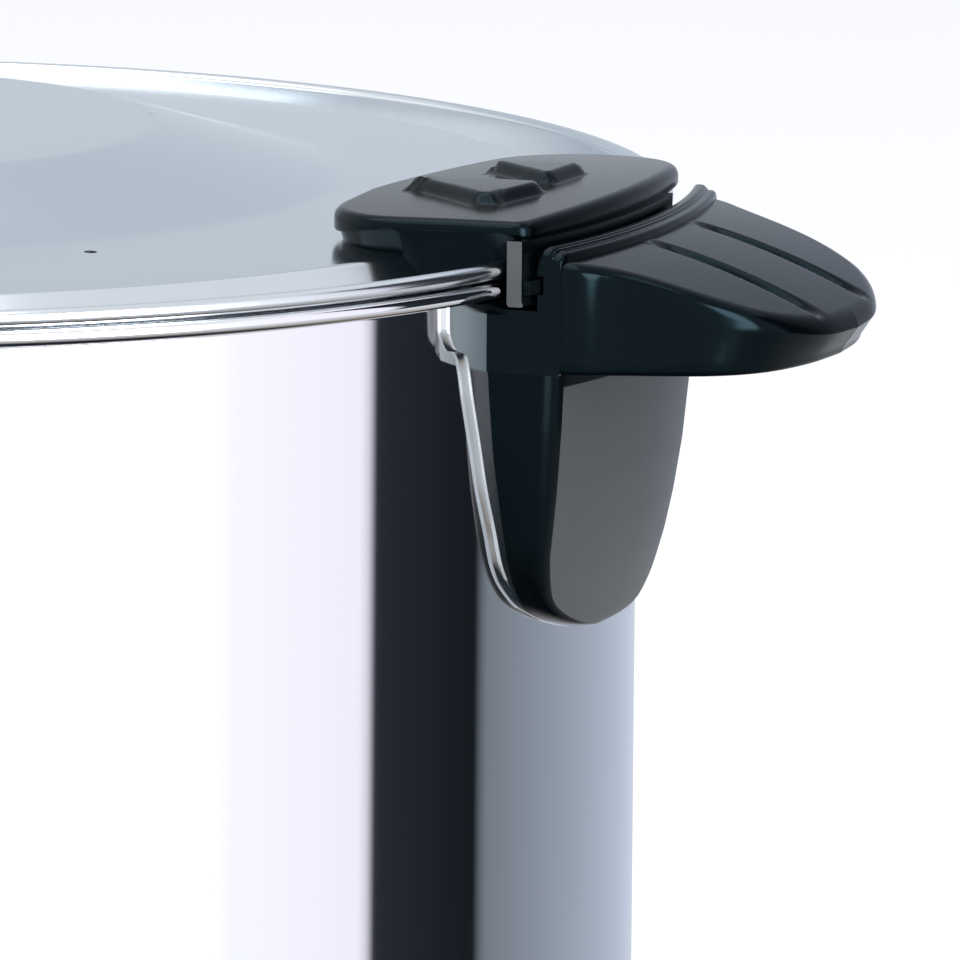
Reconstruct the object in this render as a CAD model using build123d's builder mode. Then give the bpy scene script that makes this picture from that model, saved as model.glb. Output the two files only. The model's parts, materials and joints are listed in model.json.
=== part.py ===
"""Percolating coffee urn with a twist-lock lid, two side handles and a lever faucet.

Millimetres. Origin at the centre of the footprint, on the floor; +Z up.
The handles lie along X and the faucet points along -Y. The urn is drawn round its
own axis, and every piece is moved back by AXIS_Y as it is saved, because the faucet
reaches further forward than the power inlet reaches back.
"""

import os
from math import cos, radians, sin, sqrt, tan

from build123d import *

os.makedirs("parts", exist_ok=True)

# ---- driving dimensions ------------------------------------------------------

AXIS_Y = 19.42

# rolled rims of the tank and of the lid
RIM_R = 140.0
BEAD_R = 1.35
BEAD_CENTRE_R = RIM_R - BEAD_R
LID_BEAD_Z = 432.0
TANK_BEAD_Z = LID_BEAD_Z - 3.0

# tank
TANK_R = 134.5
TANK_WALL = 0.8
TANK_IN_R = TANK_R - TANK_WALL
TANK_FOOT_Z = 78.0
TANK_LIP_Z = TANK_BEAD_Z + 0.1
FLOOR_Z = 92.0
FLOOR_EDGE_Z = 96.0
FLOOR_FLAT_R = 100.0
WELL_R, WELL_FLAT_R = 36.0, 32.0
WELL_Z = 83.0
SHEET = 0.8
STUD_R, STUD_FOOT_Z = 3.0, 60.0

# lid, heights above the centre of its rolled rim
LID_SHEET = 0.6
LID_WEB_R = BEAD_CENTRE_R - BEAD_R - 0.35
LID_GUTTER_Z = TANK_LIP_Z + LID_SHEET - LID_BEAD_Z
LID_GUTTER_R = 124.0
LID_EDGE_R, LID_EDGE_Z = 121.0, 0.9
LID_STEP_R, LID_STEP_Z = 88.0, 2.7
LID_TOP_R, LID_TOP_Z = 58.0, 11.0
LID_CORNERS = [9.0, 14.0, 1.6, 1.2]
VENT_R, VENT_AT, VENT_ANGLE = 1.0, 95.0, -39.0

# lid tabs
TAB_INNER_X = 101.5
TAB_OUTER_R = 142.0
TAB_HALF_WIDTH = 38.3
TAB_UNDER_Z = 3.2
TAB_TOP_Z = 7.4
TAB_DOME_R = 560.0
TAB_DOME_X = TAB_INNER_X + 20.0
TAB_WALL = 2.0
PAD_RISE = 1.1
PADS = ((117.5, -14.5), (120.5, 10.5))
SKIRT_IN_R, SKIRT_OUT_R = 140.6, 142.9
SKIRT_HALF_ANGLE = 16.4
SKIRT_FOOT_Z = -5.4
LUG_OUT_R = 144.8
LUG_ANGLES = (-16.4, -15.1)
LUG_Z = (-3.4, -1.2)
LOCK_ANGLE = 12.0
RIVET_X, RIVET_Y = 112.0, 18.0
RIVET_R, RIVET_HEAD_R, RIVET_HEAD = 1.6, 4.0, 1.4
RIVET_LENGTH = 5.0

# handles
WALL_IN_R, WALL_MID_R, WALL_OUT_R = 143.6, 145.5, 147.2
WALL_HALF_ANGLE = 14.6
WALL_TOP_Z, WALL_STEP_Z = 3.6, 2.2
CHANNEL_Z = -6.3
BLOCK_HALF_ANGLE = 15.7
NOSE_HALF_ANGLE = 19.0
GRIP_TIP_X = 180.0
GRIP_TOP_Z = 1.4
GRIP_DROOP = 19.5
GRIP_CROWN = 4.6
GRIP_EDGE_Z = -17.0
GRIP_SHELL = 3.6
GROOVE_Y = 12.0
GROOVE_LENGTH, GROOVE_DEPTH = 31.0, 2.3
TONGUE_FOOT_Z = -61.5
BRACKET_SHEET = 1.2
BRACKET_R = TANK_R + BRACKET_SHEET
HANDLE_SCREWS = ((-17.0, -28.0), (17.0, -28.0), (0.0, -46.0))
SCREW_R, SCREW_HEAD_R, SCREW_HEAD = 1.7, 3.8, 2.4
SCREW_DEPTH = 5.5
WASHER = 1.0

# base
BASE_FOOT_R, BASE_TOP_R = 142.0, 138.4
BASE_WALL = 3.0
BASE_FOOT_Z, BASE_TOP_Z = 7.0, 86.0
LEDGE_R, LEDGE_Z, LEDGE_UNDER_Z = 128.0, 77.0, 74.5
LIP_R = 134.8
PLATE_R, PLATE_Z, PLATE_SHEET = 138.2, 10.0, 1.2
BOSS_RING_R, BOSS_R = 132.0, 5.0
PLATE_SCREW_R = 1.3
FOOT_RING_R, FOOT_R, FOOT_HEIGHT = 104.0, 11.0, PLATE_Z
FOOT_RECESS_R, FOOT_RECESS = 5.4, 3.6
FOOT_SCREW_R = 1.9
POD_FACE_Y = 144.5
POD_BACK_Y = 100.0
POD_SIZE, POD_CORNER, POD_WALL = (84.0, 36.0), 9.0, 2.6
REAR_POD_SIZE = (62.0, 34.0)
SWITCH_X, LAMP_X, CONTROL_Z = -19.0, 19.0, 46.0
INLET_Z = 44.0
SLOT_WIDTH, SLOT_HEIGHT, SLOT_Z = 3.0, 18.0, 56.0
SLOT_ANGLES = (32, 38, 44, 50, 56, 124, 130, 136, 142, 148)

# switch, lamp and inlet
BEZEL = 2.0
SWITCH_BODY = (12.6, 20.4)
SWITCH_BACK_Y = -126.0
ROCKER_R, ROCKER_HALF_X = 8.6, 4.6
ROCKER_CAVITY_R = 9.0
ROCKER_PIVOT_Y = -POD_FACE_Y + 1.0
ROCKER_TILT = 9.0
ROCKER_PIN_R = 1.2
LAMP_R, LAMP_SLEEVE_R, LAMP_BEZEL_R = 5.0, 6.4, 8.0
INLET_BODY = (27.5, 19.5)
INLET_RECESS = (24.6, 16.6)
INLET_BACK_Y = POD_FACE_Y - 18.0
INLET_DEPTH = 14.0
INLET_PINS = ((-7.0, 2.0), (0.0, -2.0), (7.0, 2.0))
INLET_SCREW_X, INLET_SCREW_R = 20.0, 1.5

# faucet
FAUCET_Z = 114.0
STEM_Y = -167.0
SHANK_R, SHANK_BORE_R = 7.0, 4.0
SHANK_BACK_Y = -122.0
COLLAR_Y = -TANK_R - 3.0
CHAMBER_R, CHAMBER_BORE_R = 12.0, 8.2
SPOUT_R, SPOUT_BORE_R = 9.0, 6.0
SEAT_Z = FAUCET_Z - 8.0
SPOUT_Z = FAUCET_Z - 30.0
NECK_Z = FAUCET_Z + 14.0
BONNET_R, BONNET_TOP_Z = 14.0, NECK_Z + 4.0
STEM_R, GUIDE_R = 2.0, 2.1
CRANK_REACH = 7.63
CRANK_ANGLE = 17.5
PIVOT_Y = STEM_Y - CRANK_REACH
PIVOT_Z = NECK_Z + 13.0
PIVOT_R, HUB_R, HUB_HALF_X = 1.5, 3.6, 4.2
EAR_X = (4.4, 7.2)
TINE_X = (2.3, 4.2)
YOKE_PIN_R = 1.2
YOKE_PIN_Z = PIVOT_Z - CRANK_REACH * tan(radians(CRANK_ANGLE))
SPRING_R, SPRING_WIRE_R, SPRING_TURNS = 5.6, 0.6, 5
SPRING_Z = (SEAT_Z + 3.6, NECK_Z - 0.6)
PADDLE_LEAN = 10.0

# percolator
TUBE_R, TUBE_BORE_R = 6.0, 5.0
TUBE_FOOT_Z, TUBE_TOP_Z = 84.5, 430.0
TUBE_SHOULDER_Z = 100.0
DOME_R = 29.0
WASHER_R = 20.0
BASKET_R = 96.0
BASKET_FLOOR_Z, BASKET_RIM_Z = 318.0, 408.0
BASKET_BEAD_R = 1.6
SLEEVE_R = 6.4

# heating, under the tank
HEATER_R = 29.5
HEATER_Z = WELL_Z - SHEET - 4.5
RING_R = (62.0, 74.0)
SHIELD_Z, SHIELD_R = 69.4, 92.0
STAT_X, STAT_R = 49.0, 8.0
WIRE_R = 1.3

PARTS = []


# ---- helpers -----------------------------------------------------------------


def rim(z):
    """Height in the urn of a point z above the centre of the lid's rolled rim."""
    return LID_BEAD_Z + z


def polar(radius, angle, z=0.0):
    """A point at a radius and an angle in degrees about the urn's axis."""
    return (radius * cos(radians(angle)), radius * sin(radians(angle)), z)


def save(label, part):
    """Moves a finished piece into the urn's frame, labels it and writes it."""
    piece = part.moved(Location((0, AXIS_Y, 0)))
    piece.label = label
    export_step(piece, f"parts/{label}.step")
    PARTS.append(piece)


def level(x, y, z):
    """A plane at a point, facing up."""
    return Plane(origin=(x, y, z))


def front(x, y, z):
    """A plane at a point, facing the front of the urn."""
    return Plane(origin=(x, y, z), x_dir=(1, 0, 0), z_dir=(0, -1, 0))


def rear(x, y, z):
    """A plane at a point, facing the rear of the urn."""
    return Plane(origin=(x, y, z), x_dir=(-1, 0, 0), z_dir=(0, 1, 0))


def sideways(x, y, z, side=1):
    """A plane at a point, facing +X, or -X when side is -1."""
    return Plane(origin=(x, y, z), x_dir=(0, 1, 0), z_dir=(side, 0, 0))


def outward(radius, angle, z):
    """An upright plane at a radius that faces away from the urn's axis."""
    return Plane(origin=polar(radius, angle, z), x_dir=polar(1, angle + 90), z_dir=polar(1, angle))


def rod(plane, radius, length, bore=0.0, mode=Mode.ADD):
    """Adds a rod, or a tube with a bore, that stands on a plane."""
    with BuildSketch(plane) as ring:
        Circle(radius)
        if bore:
            Circle(bore, mode=Mode.SUBTRACT)
    extrude(ring.sketch, amount=length, mode=mode)


def slab(plane, width, height, depth, corner=0.0, mode=Mode.ADD):
    """Adds a block with rounded corners that stands on a plane."""
    with BuildSketch(plane) as outline:
        if corner:
            RectangleRounded(width, height, corner)
        else:
            Rectangle(width, height)
    extrude(outline.sketch, amount=depth, mode=mode)


def hexagon(plane, across_flats, depth, bore):
    """Adds a hexagon nut that stands on a plane."""
    with BuildSketch(plane) as nut:
        RegularPolygon(across_flats / 2, 6, major_radius=False)
        Circle(bore, mode=Mode.SUBTRACT)
    extrude(nut.sketch, amount=depth)


def turned(points, y=0.0, mode=Mode.ADD):
    """Adds a closed outline of (radius, height) points, turned about an upright axis."""
    with BuildSketch(front(0, y, 0)) as profile:
        with BuildLine() as outline:
            Polyline(*points, close=True)
        make_face(outline.edges())
    revolve(profile.sketch, axis=Axis((0, y, 0), (0, 0, 1)), mode=mode)


def band(r_in, r_out, start, end, z_low, z_high, mode=Mode.ADD):
    """Adds an upright sector of a ring between two angles."""
    with BuildSketch(level(0, 0, z_low)) as sector:
        with BuildLine() as outline:
            outer = CenterArc((0, 0), r_out, start, end - start)
            inner = CenterArc((0, 0), r_in, start, end - start)
            Line(outer @ 0, inner @ 0)
            Line(outer @ 1, inner @ 1)
        make_face(outline.edges())
    extrude(sector.sketch, amount=z_high - z_low, mode=mode)


def ring_of_rods(ring_r, count, z, radius, length, start=45.0, mode=Mode.ADD):
    """Adds upright rods, evenly spaced on a circle about the urn's axis."""
    with BuildSketch(level(0, 0, z)) as rods:
        with PolarLocations(ring_r, count, start_angle=start):
            Circle(radius)
    extrude(rods.sketch, amount=length, mode=mode)


def through_handles(radius, reach, mode=Mode.SUBTRACT):
    """Cuts or adds the rods of the screws of the handle on +X, out to a reach."""
    for across, down in HANDLE_SCREWS:
        rod(sideways(0, across, rim(down)), radius, reach, mode=mode)


def housing_r(z):
    """Outer radius of the tapered base at a height."""
    rise = (z - BASE_FOOT_Z) / (BASE_TOP_Z - BASE_FOOT_Z)
    return BASE_FOOT_R + (BASE_TOP_R - BASE_FOOT_R) * rise


# ---- tank --------------------------------------------------------------------

with BuildPart() as tank_shell:
    turned(
        [
            (TANK_IN_R, TANK_FOOT_Z),
            (TANK_R, TANK_FOOT_Z),
            (TANK_R, TANK_LIP_Z - SHEET),
            (BEAD_CENTRE_R, TANK_LIP_Z - SHEET),
            (BEAD_CENTRE_R, TANK_LIP_Z),
            (TANK_IN_R, TANK_LIP_Z),
        ]
    )
    with BuildSketch(Plane.XZ):
        with Locations((BEAD_CENTRE_R, TANK_BEAD_Z)):
            Circle(BEAD_R)
    revolve(axis=Axis.Z)
    rod(front(0, SHANK_BACK_Y, FAUCET_Z), SHANK_R + 0.4, 20, mode=Mode.SUBTRACT)
    for across, down in HANDLE_SCREWS:
        rod(sideways(-TANK_R, across, rim(down)), SCREW_R + 0.4, 2 * TANK_R, mode=Mode.SUBTRACT)
save("tank_shell", tank_shell.part)

with BuildPart() as tank_floor:
    with BuildSketch(Plane.XZ):
        with BuildLine():
            upper = FilletPolyline(
                (0, WELL_Z),
                (WELL_FLAT_R, WELL_Z),
                (WELL_R, FLOOR_Z),
                (FLOOR_FLAT_R, FLOOR_Z),
                (TANK_IN_R, FLOOR_EDGE_Z),
                radius=[2.0, 4.0, 20.0],
            )
            lower = FilletPolyline(
                (0, WELL_Z - SHEET),
                (WELL_FLAT_R, WELL_Z - SHEET),
                (WELL_R, FLOOR_Z - SHEET),
                (FLOOR_FLAT_R, FLOOR_Z - SHEET),
                (TANK_IN_R, FLOOR_EDGE_Z - SHEET),
                radius=[2.0, 4.0, 20.0],
            )
            Line(upper @ 0, lower @ 0)
            Line(upper @ 1, lower @ 1)
        make_face()
    revolve(axis=Axis.Z)
    rod(level(0, 0, STUD_FOOT_Z), STUD_R, WELL_Z - SHEET - STUD_FOOT_Z)
save("tank_floor", tank_floor.part)


# ---- handles -----------------------------------------------------------------


def grip_section(z, reach, half_width):
    """One level section of the grip, half an ellipse that starts inside the rim wall."""
    with BuildSketch(level(WALL_MID_R, 0, rim(z))) as section:
        with BuildLine() as outline:
            nose = EllipticalCenterArc((0, 0), reach - WALL_MID_R, half_width, -90, arc_size=180)
            Line(nose @ 0, nose @ 1)
        make_face(outline.edges())
    return section.sketch


def grip_crest(depth):
    """A crowned face along the drooping top of the grip, and all below it, at a depth."""
    slope = radians(GRIP_DROOP)
    crest = Plane(
        origin=(WALL_OUT_R, 0, rim(GRIP_TOP_Z - depth)),
        x_dir=(0, 1, 0),
        z_dir=(cos(slope), 0, -sin(slope)),
    )
    with BuildSketch(crest) as outline:
        with BuildLine() as edge:
            ThreePointArc((-44, -GRIP_CROWN), (0, 0), (44, -GRIP_CROWN))
            Polyline((44, -GRIP_CROWN), (44, -60), (-44, -60), (-44, -GRIP_CROWN))
        make_face(edge.edges())
    return outline.sketch


def grip_hollow():
    """The space under the grip that the fingers curl into."""
    with BuildPart() as hollow:
        with BuildSketch(level(WALL_OUT_R + 1.6, 0, rim(GRIP_EDGE_Z - 4))):
            Circle(28.5)
            with Locations((-30, 0)):
                Rectangle(60, 60, mode=Mode.SUBTRACT)
        extrude(amount=40)
        extrude(grip_crest(GRIP_SHELL), amount=60, both=True, mode=Mode.INTERSECT)
    return hollow.part


def grip():
    """The drooping hood that the fingers hold, waisted at the sides and grooved on top."""
    hollow = grip_hollow()
    slope = radians(GRIP_DROOP)
    along = (cos(slope), 0, -sin(slope))
    with BuildPart() as hood:
        add(grip_section(GRIP_EDGE_Z - 1, GRIP_TIP_X - 1.0, 36.2))
        add(grip_section(-9.0, GRIP_TIP_X - 1.4, 32.0))
        add(grip_section(4.0, GRIP_TIP_X + 2.0, 33.4))
        loft()
        extrude(grip_crest(0), amount=60, both=True, mode=Mode.INTERSECT)
        fillet(hood.faces().sort_by(Axis.Z)[-1].edges().sort_by(Axis.X)[1:], radius=2.0)
        with BuildSketch(front(0, 0, 0)):
            with BuildLine():
                Polyline(
                    (130, rim(GRIP_EDGE_Z - 8)),
                    (200, rim(GRIP_EDGE_Z - 8)),
                    (200, rim(GRIP_EDGE_Z + 4.4)),
                    (WALL_OUT_R, rim(GRIP_EDGE_Z)),
                    (130, rim(GRIP_EDGE_Z)),
                    close=True,
                )
            make_face()
        extrude(amount=60, both=True, mode=Mode.SUBTRACT)
        add(hollow, mode=Mode.SUBTRACT)
        for across in (-GROOVE_Y, GROOVE_Y):
            middle_x = WALL_OUT_R + 17.5
            middle_z = rim(GRIP_TOP_Z) - 17.5 * tan(slope) - GRIP_CROWN * (across / 44) ** 2 + 0.9
            with BuildSketch(Plane(origin=(middle_x, across, middle_z), x_dir=along, z_dir=(0, -1, 0))):
                with BuildLine():
                    ThreePointArc((-GROOVE_LENGTH / 2, 0), (0, -GROOVE_DEPTH), (GROOVE_LENGTH / 2, 0))
                    Line((GROOVE_LENGTH / 2, 0), (-GROOVE_LENGTH / 2, 0))
                make_face()
            revolve(axis=Axis((middle_x, across, middle_z), along), mode=Mode.SUBTRACT)
    return hood.part


def tongue_section(z, back, front_y, corner_x, face_x):
    """One level section of the tongue, wider at the tank than at its outer face."""
    with BuildSketch(level(0, 0, rim(z))) as section:
        with BuildLine() as outline:
            Polyline((corner_x, front_y), (122, back), (122, -back), (corner_x, -front_y))
            ThreePointArc((corner_x, -front_y), (face_x, 0), (corner_x, front_y))
        make_face(outline.edges())
        fillet(section.vertices().group_by(Axis.X)[-1], radius=2.4)
    return section.sketch


def tongue_shape(z_top, grow):
    """The outline of the tongue seen square on, as corner points from its top down and up."""
    half = [(42, z_top), (35.2, -32), (31.4, -50), (20, TONGUE_FOOT_Z + 1.4)]
    right = [(y + grow, rim(z - grow)) for y, z in half]
    left = [(-y, z) for y, z in reversed(right)]
    return right + [(0, rim(TONGUE_FOOT_Z - grow))] + left


def tongue():
    """The shield below the grip, which bears on the tank and takes the screws."""
    with BuildPart() as shield:
        add(tongue_section(-12.0, 41.0, 31.8, 140.6, 145.4))
        add(tongue_section(-36.0, 39.6, 30.6, 138.8, 143.4))
        add(tongue_section(-64.0, 37.6, 28.6, 133.0, 137.6))
        loft()
        with BuildSketch(sideways(0, 0, 0)):
            with BuildLine():
                FilletPolyline(
                    *tongue_shape(-12, 0), radius=[1, 40, 12, 12, 60, 12, 12, 40, 1], close=True
                )
            make_face()
        extrude(amount=160, mode=Mode.INTERSECT)
    return shield.part


def handle(turn):
    """One moulded handle: rim wall, channel under the rims, grip and tongue."""
    shaped_grip = grip()
    shaped_tongue = tongue()
    with BuildPart() as moulding:
        add(shaped_tongue)
        block = (-BLOCK_HALF_ANGLE, BLOCK_HALF_ANGLE)
        wall = (-WALL_HALF_ANGLE, WALL_HALF_ANGLE)
        band(BRACKET_R, WALL_OUT_R, *block, rim(GRIP_EDGE_Z), rim(CHANNEL_Z))
        band(BRACKET_R, RIM_R, -NOSE_HALF_ANGLE, NOSE_HALF_ANGLE, rim(CHANNEL_Z - 2.2), rim(CHANNEL_Z))
        band(WALL_IN_R, WALL_OUT_R, *block, rim(CHANNEL_Z), rim(-0.6))
        band(WALL_IN_R, WALL_OUT_R, *wall, rim(-0.6), rim(WALL_STEP_Z))
        band(WALL_IN_R, WALL_MID_R, *wall, rim(WALL_STEP_Z), rim(WALL_TOP_Z))
        add(shaped_grip)
        rod(level(0, 0, rim(-80)), BRACKET_R, 100, mode=Mode.SUBTRACT)
        band(
            WALL_IN_R - 0.1,
            LUG_OUT_R + 0.5,
            -BLOCK_HALF_ANGLE - 1,
            LUG_ANGLES[1] + LOCK_ANGLE + 1.2,
            rim(LUG_Z[0] - 0.6),
            rim(LUG_Z[1] + 0.6),
            mode=Mode.SUBTRACT,
        )
        through_handles(SCREW_R, BRACKET_R + SCREW_DEPTH)
    return moulding.part.rotate(Axis.Z, turn)


save("handle_right", handle(0))
save("handle_left", handle(180))


def bracket(turn):
    """A curved steel plate welded to the tank, which carries one handle."""
    ears = [(48.4, rim(-10.2)), (48.4, rim(-4.9))]
    outline = tongue_shape(-12.2, 2.0)[:-1]
    with BuildPart() as plate:
        band(TANK_R, BRACKET_R, -30, 30, rim(-70), rim(-4.9))
        with BuildSketch(sideways(0, 0, 0)):
            with BuildLine():
                FilletPolyline(
                    *ears[::-1],
                    *outline,
                    (-outline[0][0], outline[0][1]),
                    (-ears[0][0], ears[0][1]),
                    (-ears[1][0], ears[1][1]),
                    radius=[0.5, 1.5, 1.5, 60, 12, 12, 60, 12, 12, 60, 1.5, 1.5, 0.5],
                    close=True,
                )
            make_face()
        extrude(amount=160, mode=Mode.INTERSECT)
        through_handles(SCREW_R + 0.4, 160)
    return plate.part.rotate(Axis.Z, turn)


save("bracket_right", bracket(0))
save("bracket_left", bracket(180))


def screw_seat(across, head_r):
    """How far out the flat underside of a screw's washer can lie inside the round tank."""
    return sqrt(TANK_IN_R**2 - (abs(across) + head_r) ** 2)


with BuildPart() as handle_washers:
    for side in (1, -1):
        for across, down in HANDLE_SCREWS:
            seat = screw_seat(across, SCREW_HEAD_R + 1)
            rod(
                sideways(side * (seat - WASHER), across, rim(down), side),
                SCREW_HEAD_R + 1,
                WASHER,
                SCREW_R,
            )
save("handle_washers", handle_washers.part)

with BuildPart() as handle_screws:
    for side in (1, -1):
        for across, down in HANDLE_SCREWS:
            seat = screw_seat(across, SCREW_HEAD_R + 1) - WASHER
            head = sideways(side * (seat - SCREW_HEAD), across, rim(down), side)
            rod(head, SCREW_HEAD_R, SCREW_HEAD)
            rod(head, SCREW_R, BRACKET_R + SCREW_DEPTH - 0.5 - seat + SCREW_HEAD)
save("handle_screws", handle_screws.part)


# ---- lid ---------------------------------------------------------------------


def lid_line(drop):
    """The lid's pressed profile from its centre to the gutter, as corner points."""
    return [
        (0, rim(LID_TOP_Z + 0.2 - drop)),
        (LID_TOP_R, rim(LID_TOP_Z - drop)),
        (LID_STEP_R, rim(LID_STEP_Z - drop)),
        (LID_EDGE_R, rim(LID_EDGE_Z - drop)),
        (LID_GUTTER_R, rim(LID_GUTTER_Z - drop)),
        (LID_WEB_R, rim(LID_GUTTER_Z - drop)),
    ]


def rivet_plane(side, across, lift):
    """A plane square to the lid's slope over one rivet, at a lift above the lid's top face."""
    radius = sqrt(RIVET_X**2 + across**2)
    fall = (LID_STEP_Z - LID_EDGE_Z) / (LID_EDGE_R - LID_STEP_R)
    top = LID_STEP_Z - (radius - LID_STEP_R) * fall
    normal = Vector(side * fall * RIVET_X / radius, fall * across / radius, 1).normalized()
    origin = Vector(side * RIVET_X, across, rim(top)) + normal * lift
    return Plane(origin=origin, z_dir=normal)


def rivets(lift, radius, length, sides=(1, -1), mode=Mode.ADD):
    """Adds or cuts the rods of the lid rivets, square to the lid."""
    for side in sides:
        for across in (RIVET_Y, -RIVET_Y):
            rod(rivet_plane(side, across, lift), radius, length, mode=mode)


with BuildPart() as lid_pan:
    with BuildSketch(Plane.XZ):
        with BuildLine():
            upper = FilletPolyline(*lid_line(0), radius=LID_CORNERS)
            lower = FilletPolyline(*lid_line(LID_SHEET), radius=LID_CORNERS)
            Line(upper @ 0, lower @ 0)
            Line(upper @ 1, lower @ 1)
        make_face()
        with Locations((LID_WEB_R - LID_SHEET / 2, rim((LID_GUTTER_Z - LID_SHEET + 0.5) / 2))):
            Rectangle(LID_SHEET, 0.5 - LID_GUTTER_Z + LID_SHEET)
        with Locations(((LID_WEB_R - LID_SHEET + BEAD_CENTRE_R) / 2, rim(0.2))):
            Rectangle(BEAD_CENTRE_R - LID_WEB_R + LID_SHEET, LID_SHEET)
        with Locations((BEAD_CENTRE_R, rim(0))):
            Circle(BEAD_R)
    revolve(axis=Axis.Z)
    rod(level(*polar(VENT_AT, VENT_ANGLE, rim(-5))), VENT_R, 15, mode=Mode.SUBTRACT)
    rivets(-3, RIVET_R, 6, mode=Mode.SUBTRACT)
save("lid_pan", lid_pan.part)

with BuildPart() as lid_rivets:
    rivets(-LID_SHEET - RIVET_HEAD, RIVET_HEAD_R, RIVET_HEAD)
    rivets(-LID_SHEET - RIVET_HEAD, RIVET_R, RIVET_HEAD + LID_SHEET + RIVET_LENGTH)
save("lid_rivets", lid_rivets.part)


def tab_plan(z, inset, hollow):
    """The plan of a lid tab drawn in by an inset, as a full plate or as its wall alone."""
    depth = TAB_OUTER_R + 10 - TAB_INNER_X
    with BuildSketch(level(0, 0, rim(z))) as plan:
        with Locations((TAB_INNER_X + inset + depth / 2, 0)):
            Rectangle(depth, 2 * (TAB_HALF_WIDTH - inset))
        Circle(TAB_OUTER_R - inset, mode=Mode.INTERSECT)
        fillet(plan.vertices().group_by(Axis.X)[0], radius=14.0 - inset)
        fillet(plan.vertices().group_by(Axis.X)[-1], radius=3.5)
        if hollow:
            offset(amount=-TAB_WALL, mode=Mode.SUBTRACT)
    return plan.sketch


def finger_pads():
    """Two raised arrowheads that show which way the lid turns to lock."""
    with BuildPart() as pads:
        for place in PADS:
            with BuildSketch(level(*place, rim(TAB_UNDER_Z + 1.5))) as pad:
                Polygon(
                    (-10.5, 4.2), (-8.0, 8.5), (7.5, 8.5), (10.5, 4.2), (3.0, -8.5), (-1.0, -8.5), align=None
                )
                fillet(pad.vertices(), radius=1.6)
            extrude(amount=TAB_TOP_Z - TAB_UNDER_Z + 3)
        with Locations((TAB_DOME_X, 0, rim(TAB_TOP_Z + PAD_RISE - TAB_DOME_R))):
            Sphere(TAB_DOME_R, mode=Mode.INTERSECT)
        fillet(pads.faces().filter_by(GeomType.SPHERE).edges(), radius=0.5)
    return pads.part


def below_lid():
    """All that lies under the lid's top face, to trim what stands on the lid."""
    with BuildPart() as under:
        with BuildSketch(Plane.XZ):
            with BuildLine():
                top = FilletPolyline(*lid_line(0), radius=LID_CORNERS)
                Polyline(
                    top @ 1,
                    (LID_WEB_R, rim(BEAD_R + 0.1)),
                    (SKIRT_IN_R, rim(BEAD_R + 0.1)),
                    (SKIRT_IN_R, rim(-12)),
                    (0, rim(-12)),
                    top @ 0,
                )
            make_face()
        revolve(axis=Axis.Z)
        rod(level(0, 0, rim(-12)), SKIRT_IN_R, 12.1 + BEAD_R, LID_WEB_R - LID_SHEET)
    return under.part


def lid_tab(turn):
    """A moulded tab on the lid: domed cap, hollow below, with a skirt and a lock lug."""
    pads = finger_pads()
    under = below_lid()
    with BuildPart() as tab:
        extrude(tab_plan(TAB_UNDER_Z, 0, False), amount=TAB_TOP_Z - TAB_UNDER_Z + 2)
        with Locations((TAB_DOME_X, 0, rim(TAB_TOP_Z - TAB_DOME_R))):
            Sphere(TAB_DOME_R, mode=Mode.INTERSECT)
        fillet(tab.faces().filter_by(GeomType.SPHERE).edges(), radius=2.0)
        extrude(tab_plan(-4, 2.2, True), amount=TAB_UNDER_Z + 4.2)
        with BuildSketch(level(RIVET_X, 0, rim(-4))):
            with Locations((0, RIVET_Y), (0, -RIVET_Y)):
                Circle(RIVET_HEAD_R)
        extrude(amount=TAB_UNDER_Z + 4.2)
        add(under, mode=Mode.SUBTRACT)
        skirt = (-SKIRT_HALF_ANGLE, SKIRT_HALF_ANGLE)
        band(SKIRT_IN_R, SKIRT_OUT_R, *skirt, rim(SKIRT_FOOT_Z), rim(TAB_UNDER_Z + 0.4))
        band(SKIRT_OUT_R - 0.2, LUG_OUT_R, *LUG_ANGLES, rim(LUG_Z[0]), rim(LUG_Z[1]))
        add(pads)
        rivets(-4, RIVET_R, 4 + RIVET_LENGTH, sides=(1,), mode=Mode.SUBTRACT)
    return tab.part.rotate(Axis.Z, turn)


save("lid_tab_right", lid_tab(0))
save("lid_tab_left", lid_tab(180))


# ---- base --------------------------------------------------------------------


def base_bosses():
    """Four screw pillars with ribs that run out to the wall of the base."""
    top = LEDGE_UNDER_Z + 1
    with BuildPart() as bosses:
        with BuildSketch(level(0, 0, PLATE_Z + PLATE_SHEET)):
            with PolarLocations(BOSS_RING_R, 4, start_angle=45):
                Circle(BOSS_R)
                with Locations((6, 0)):
                    Rectangle(12, 2.4)
        extrude(amount=top - PLATE_Z - PLATE_SHEET)
        turned([(0, 0), (housing_r(0) - 1, 0), (housing_r(top) - 1, top), (0, top)], mode=Mode.INTERSECT)
    return bosses.part


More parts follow.
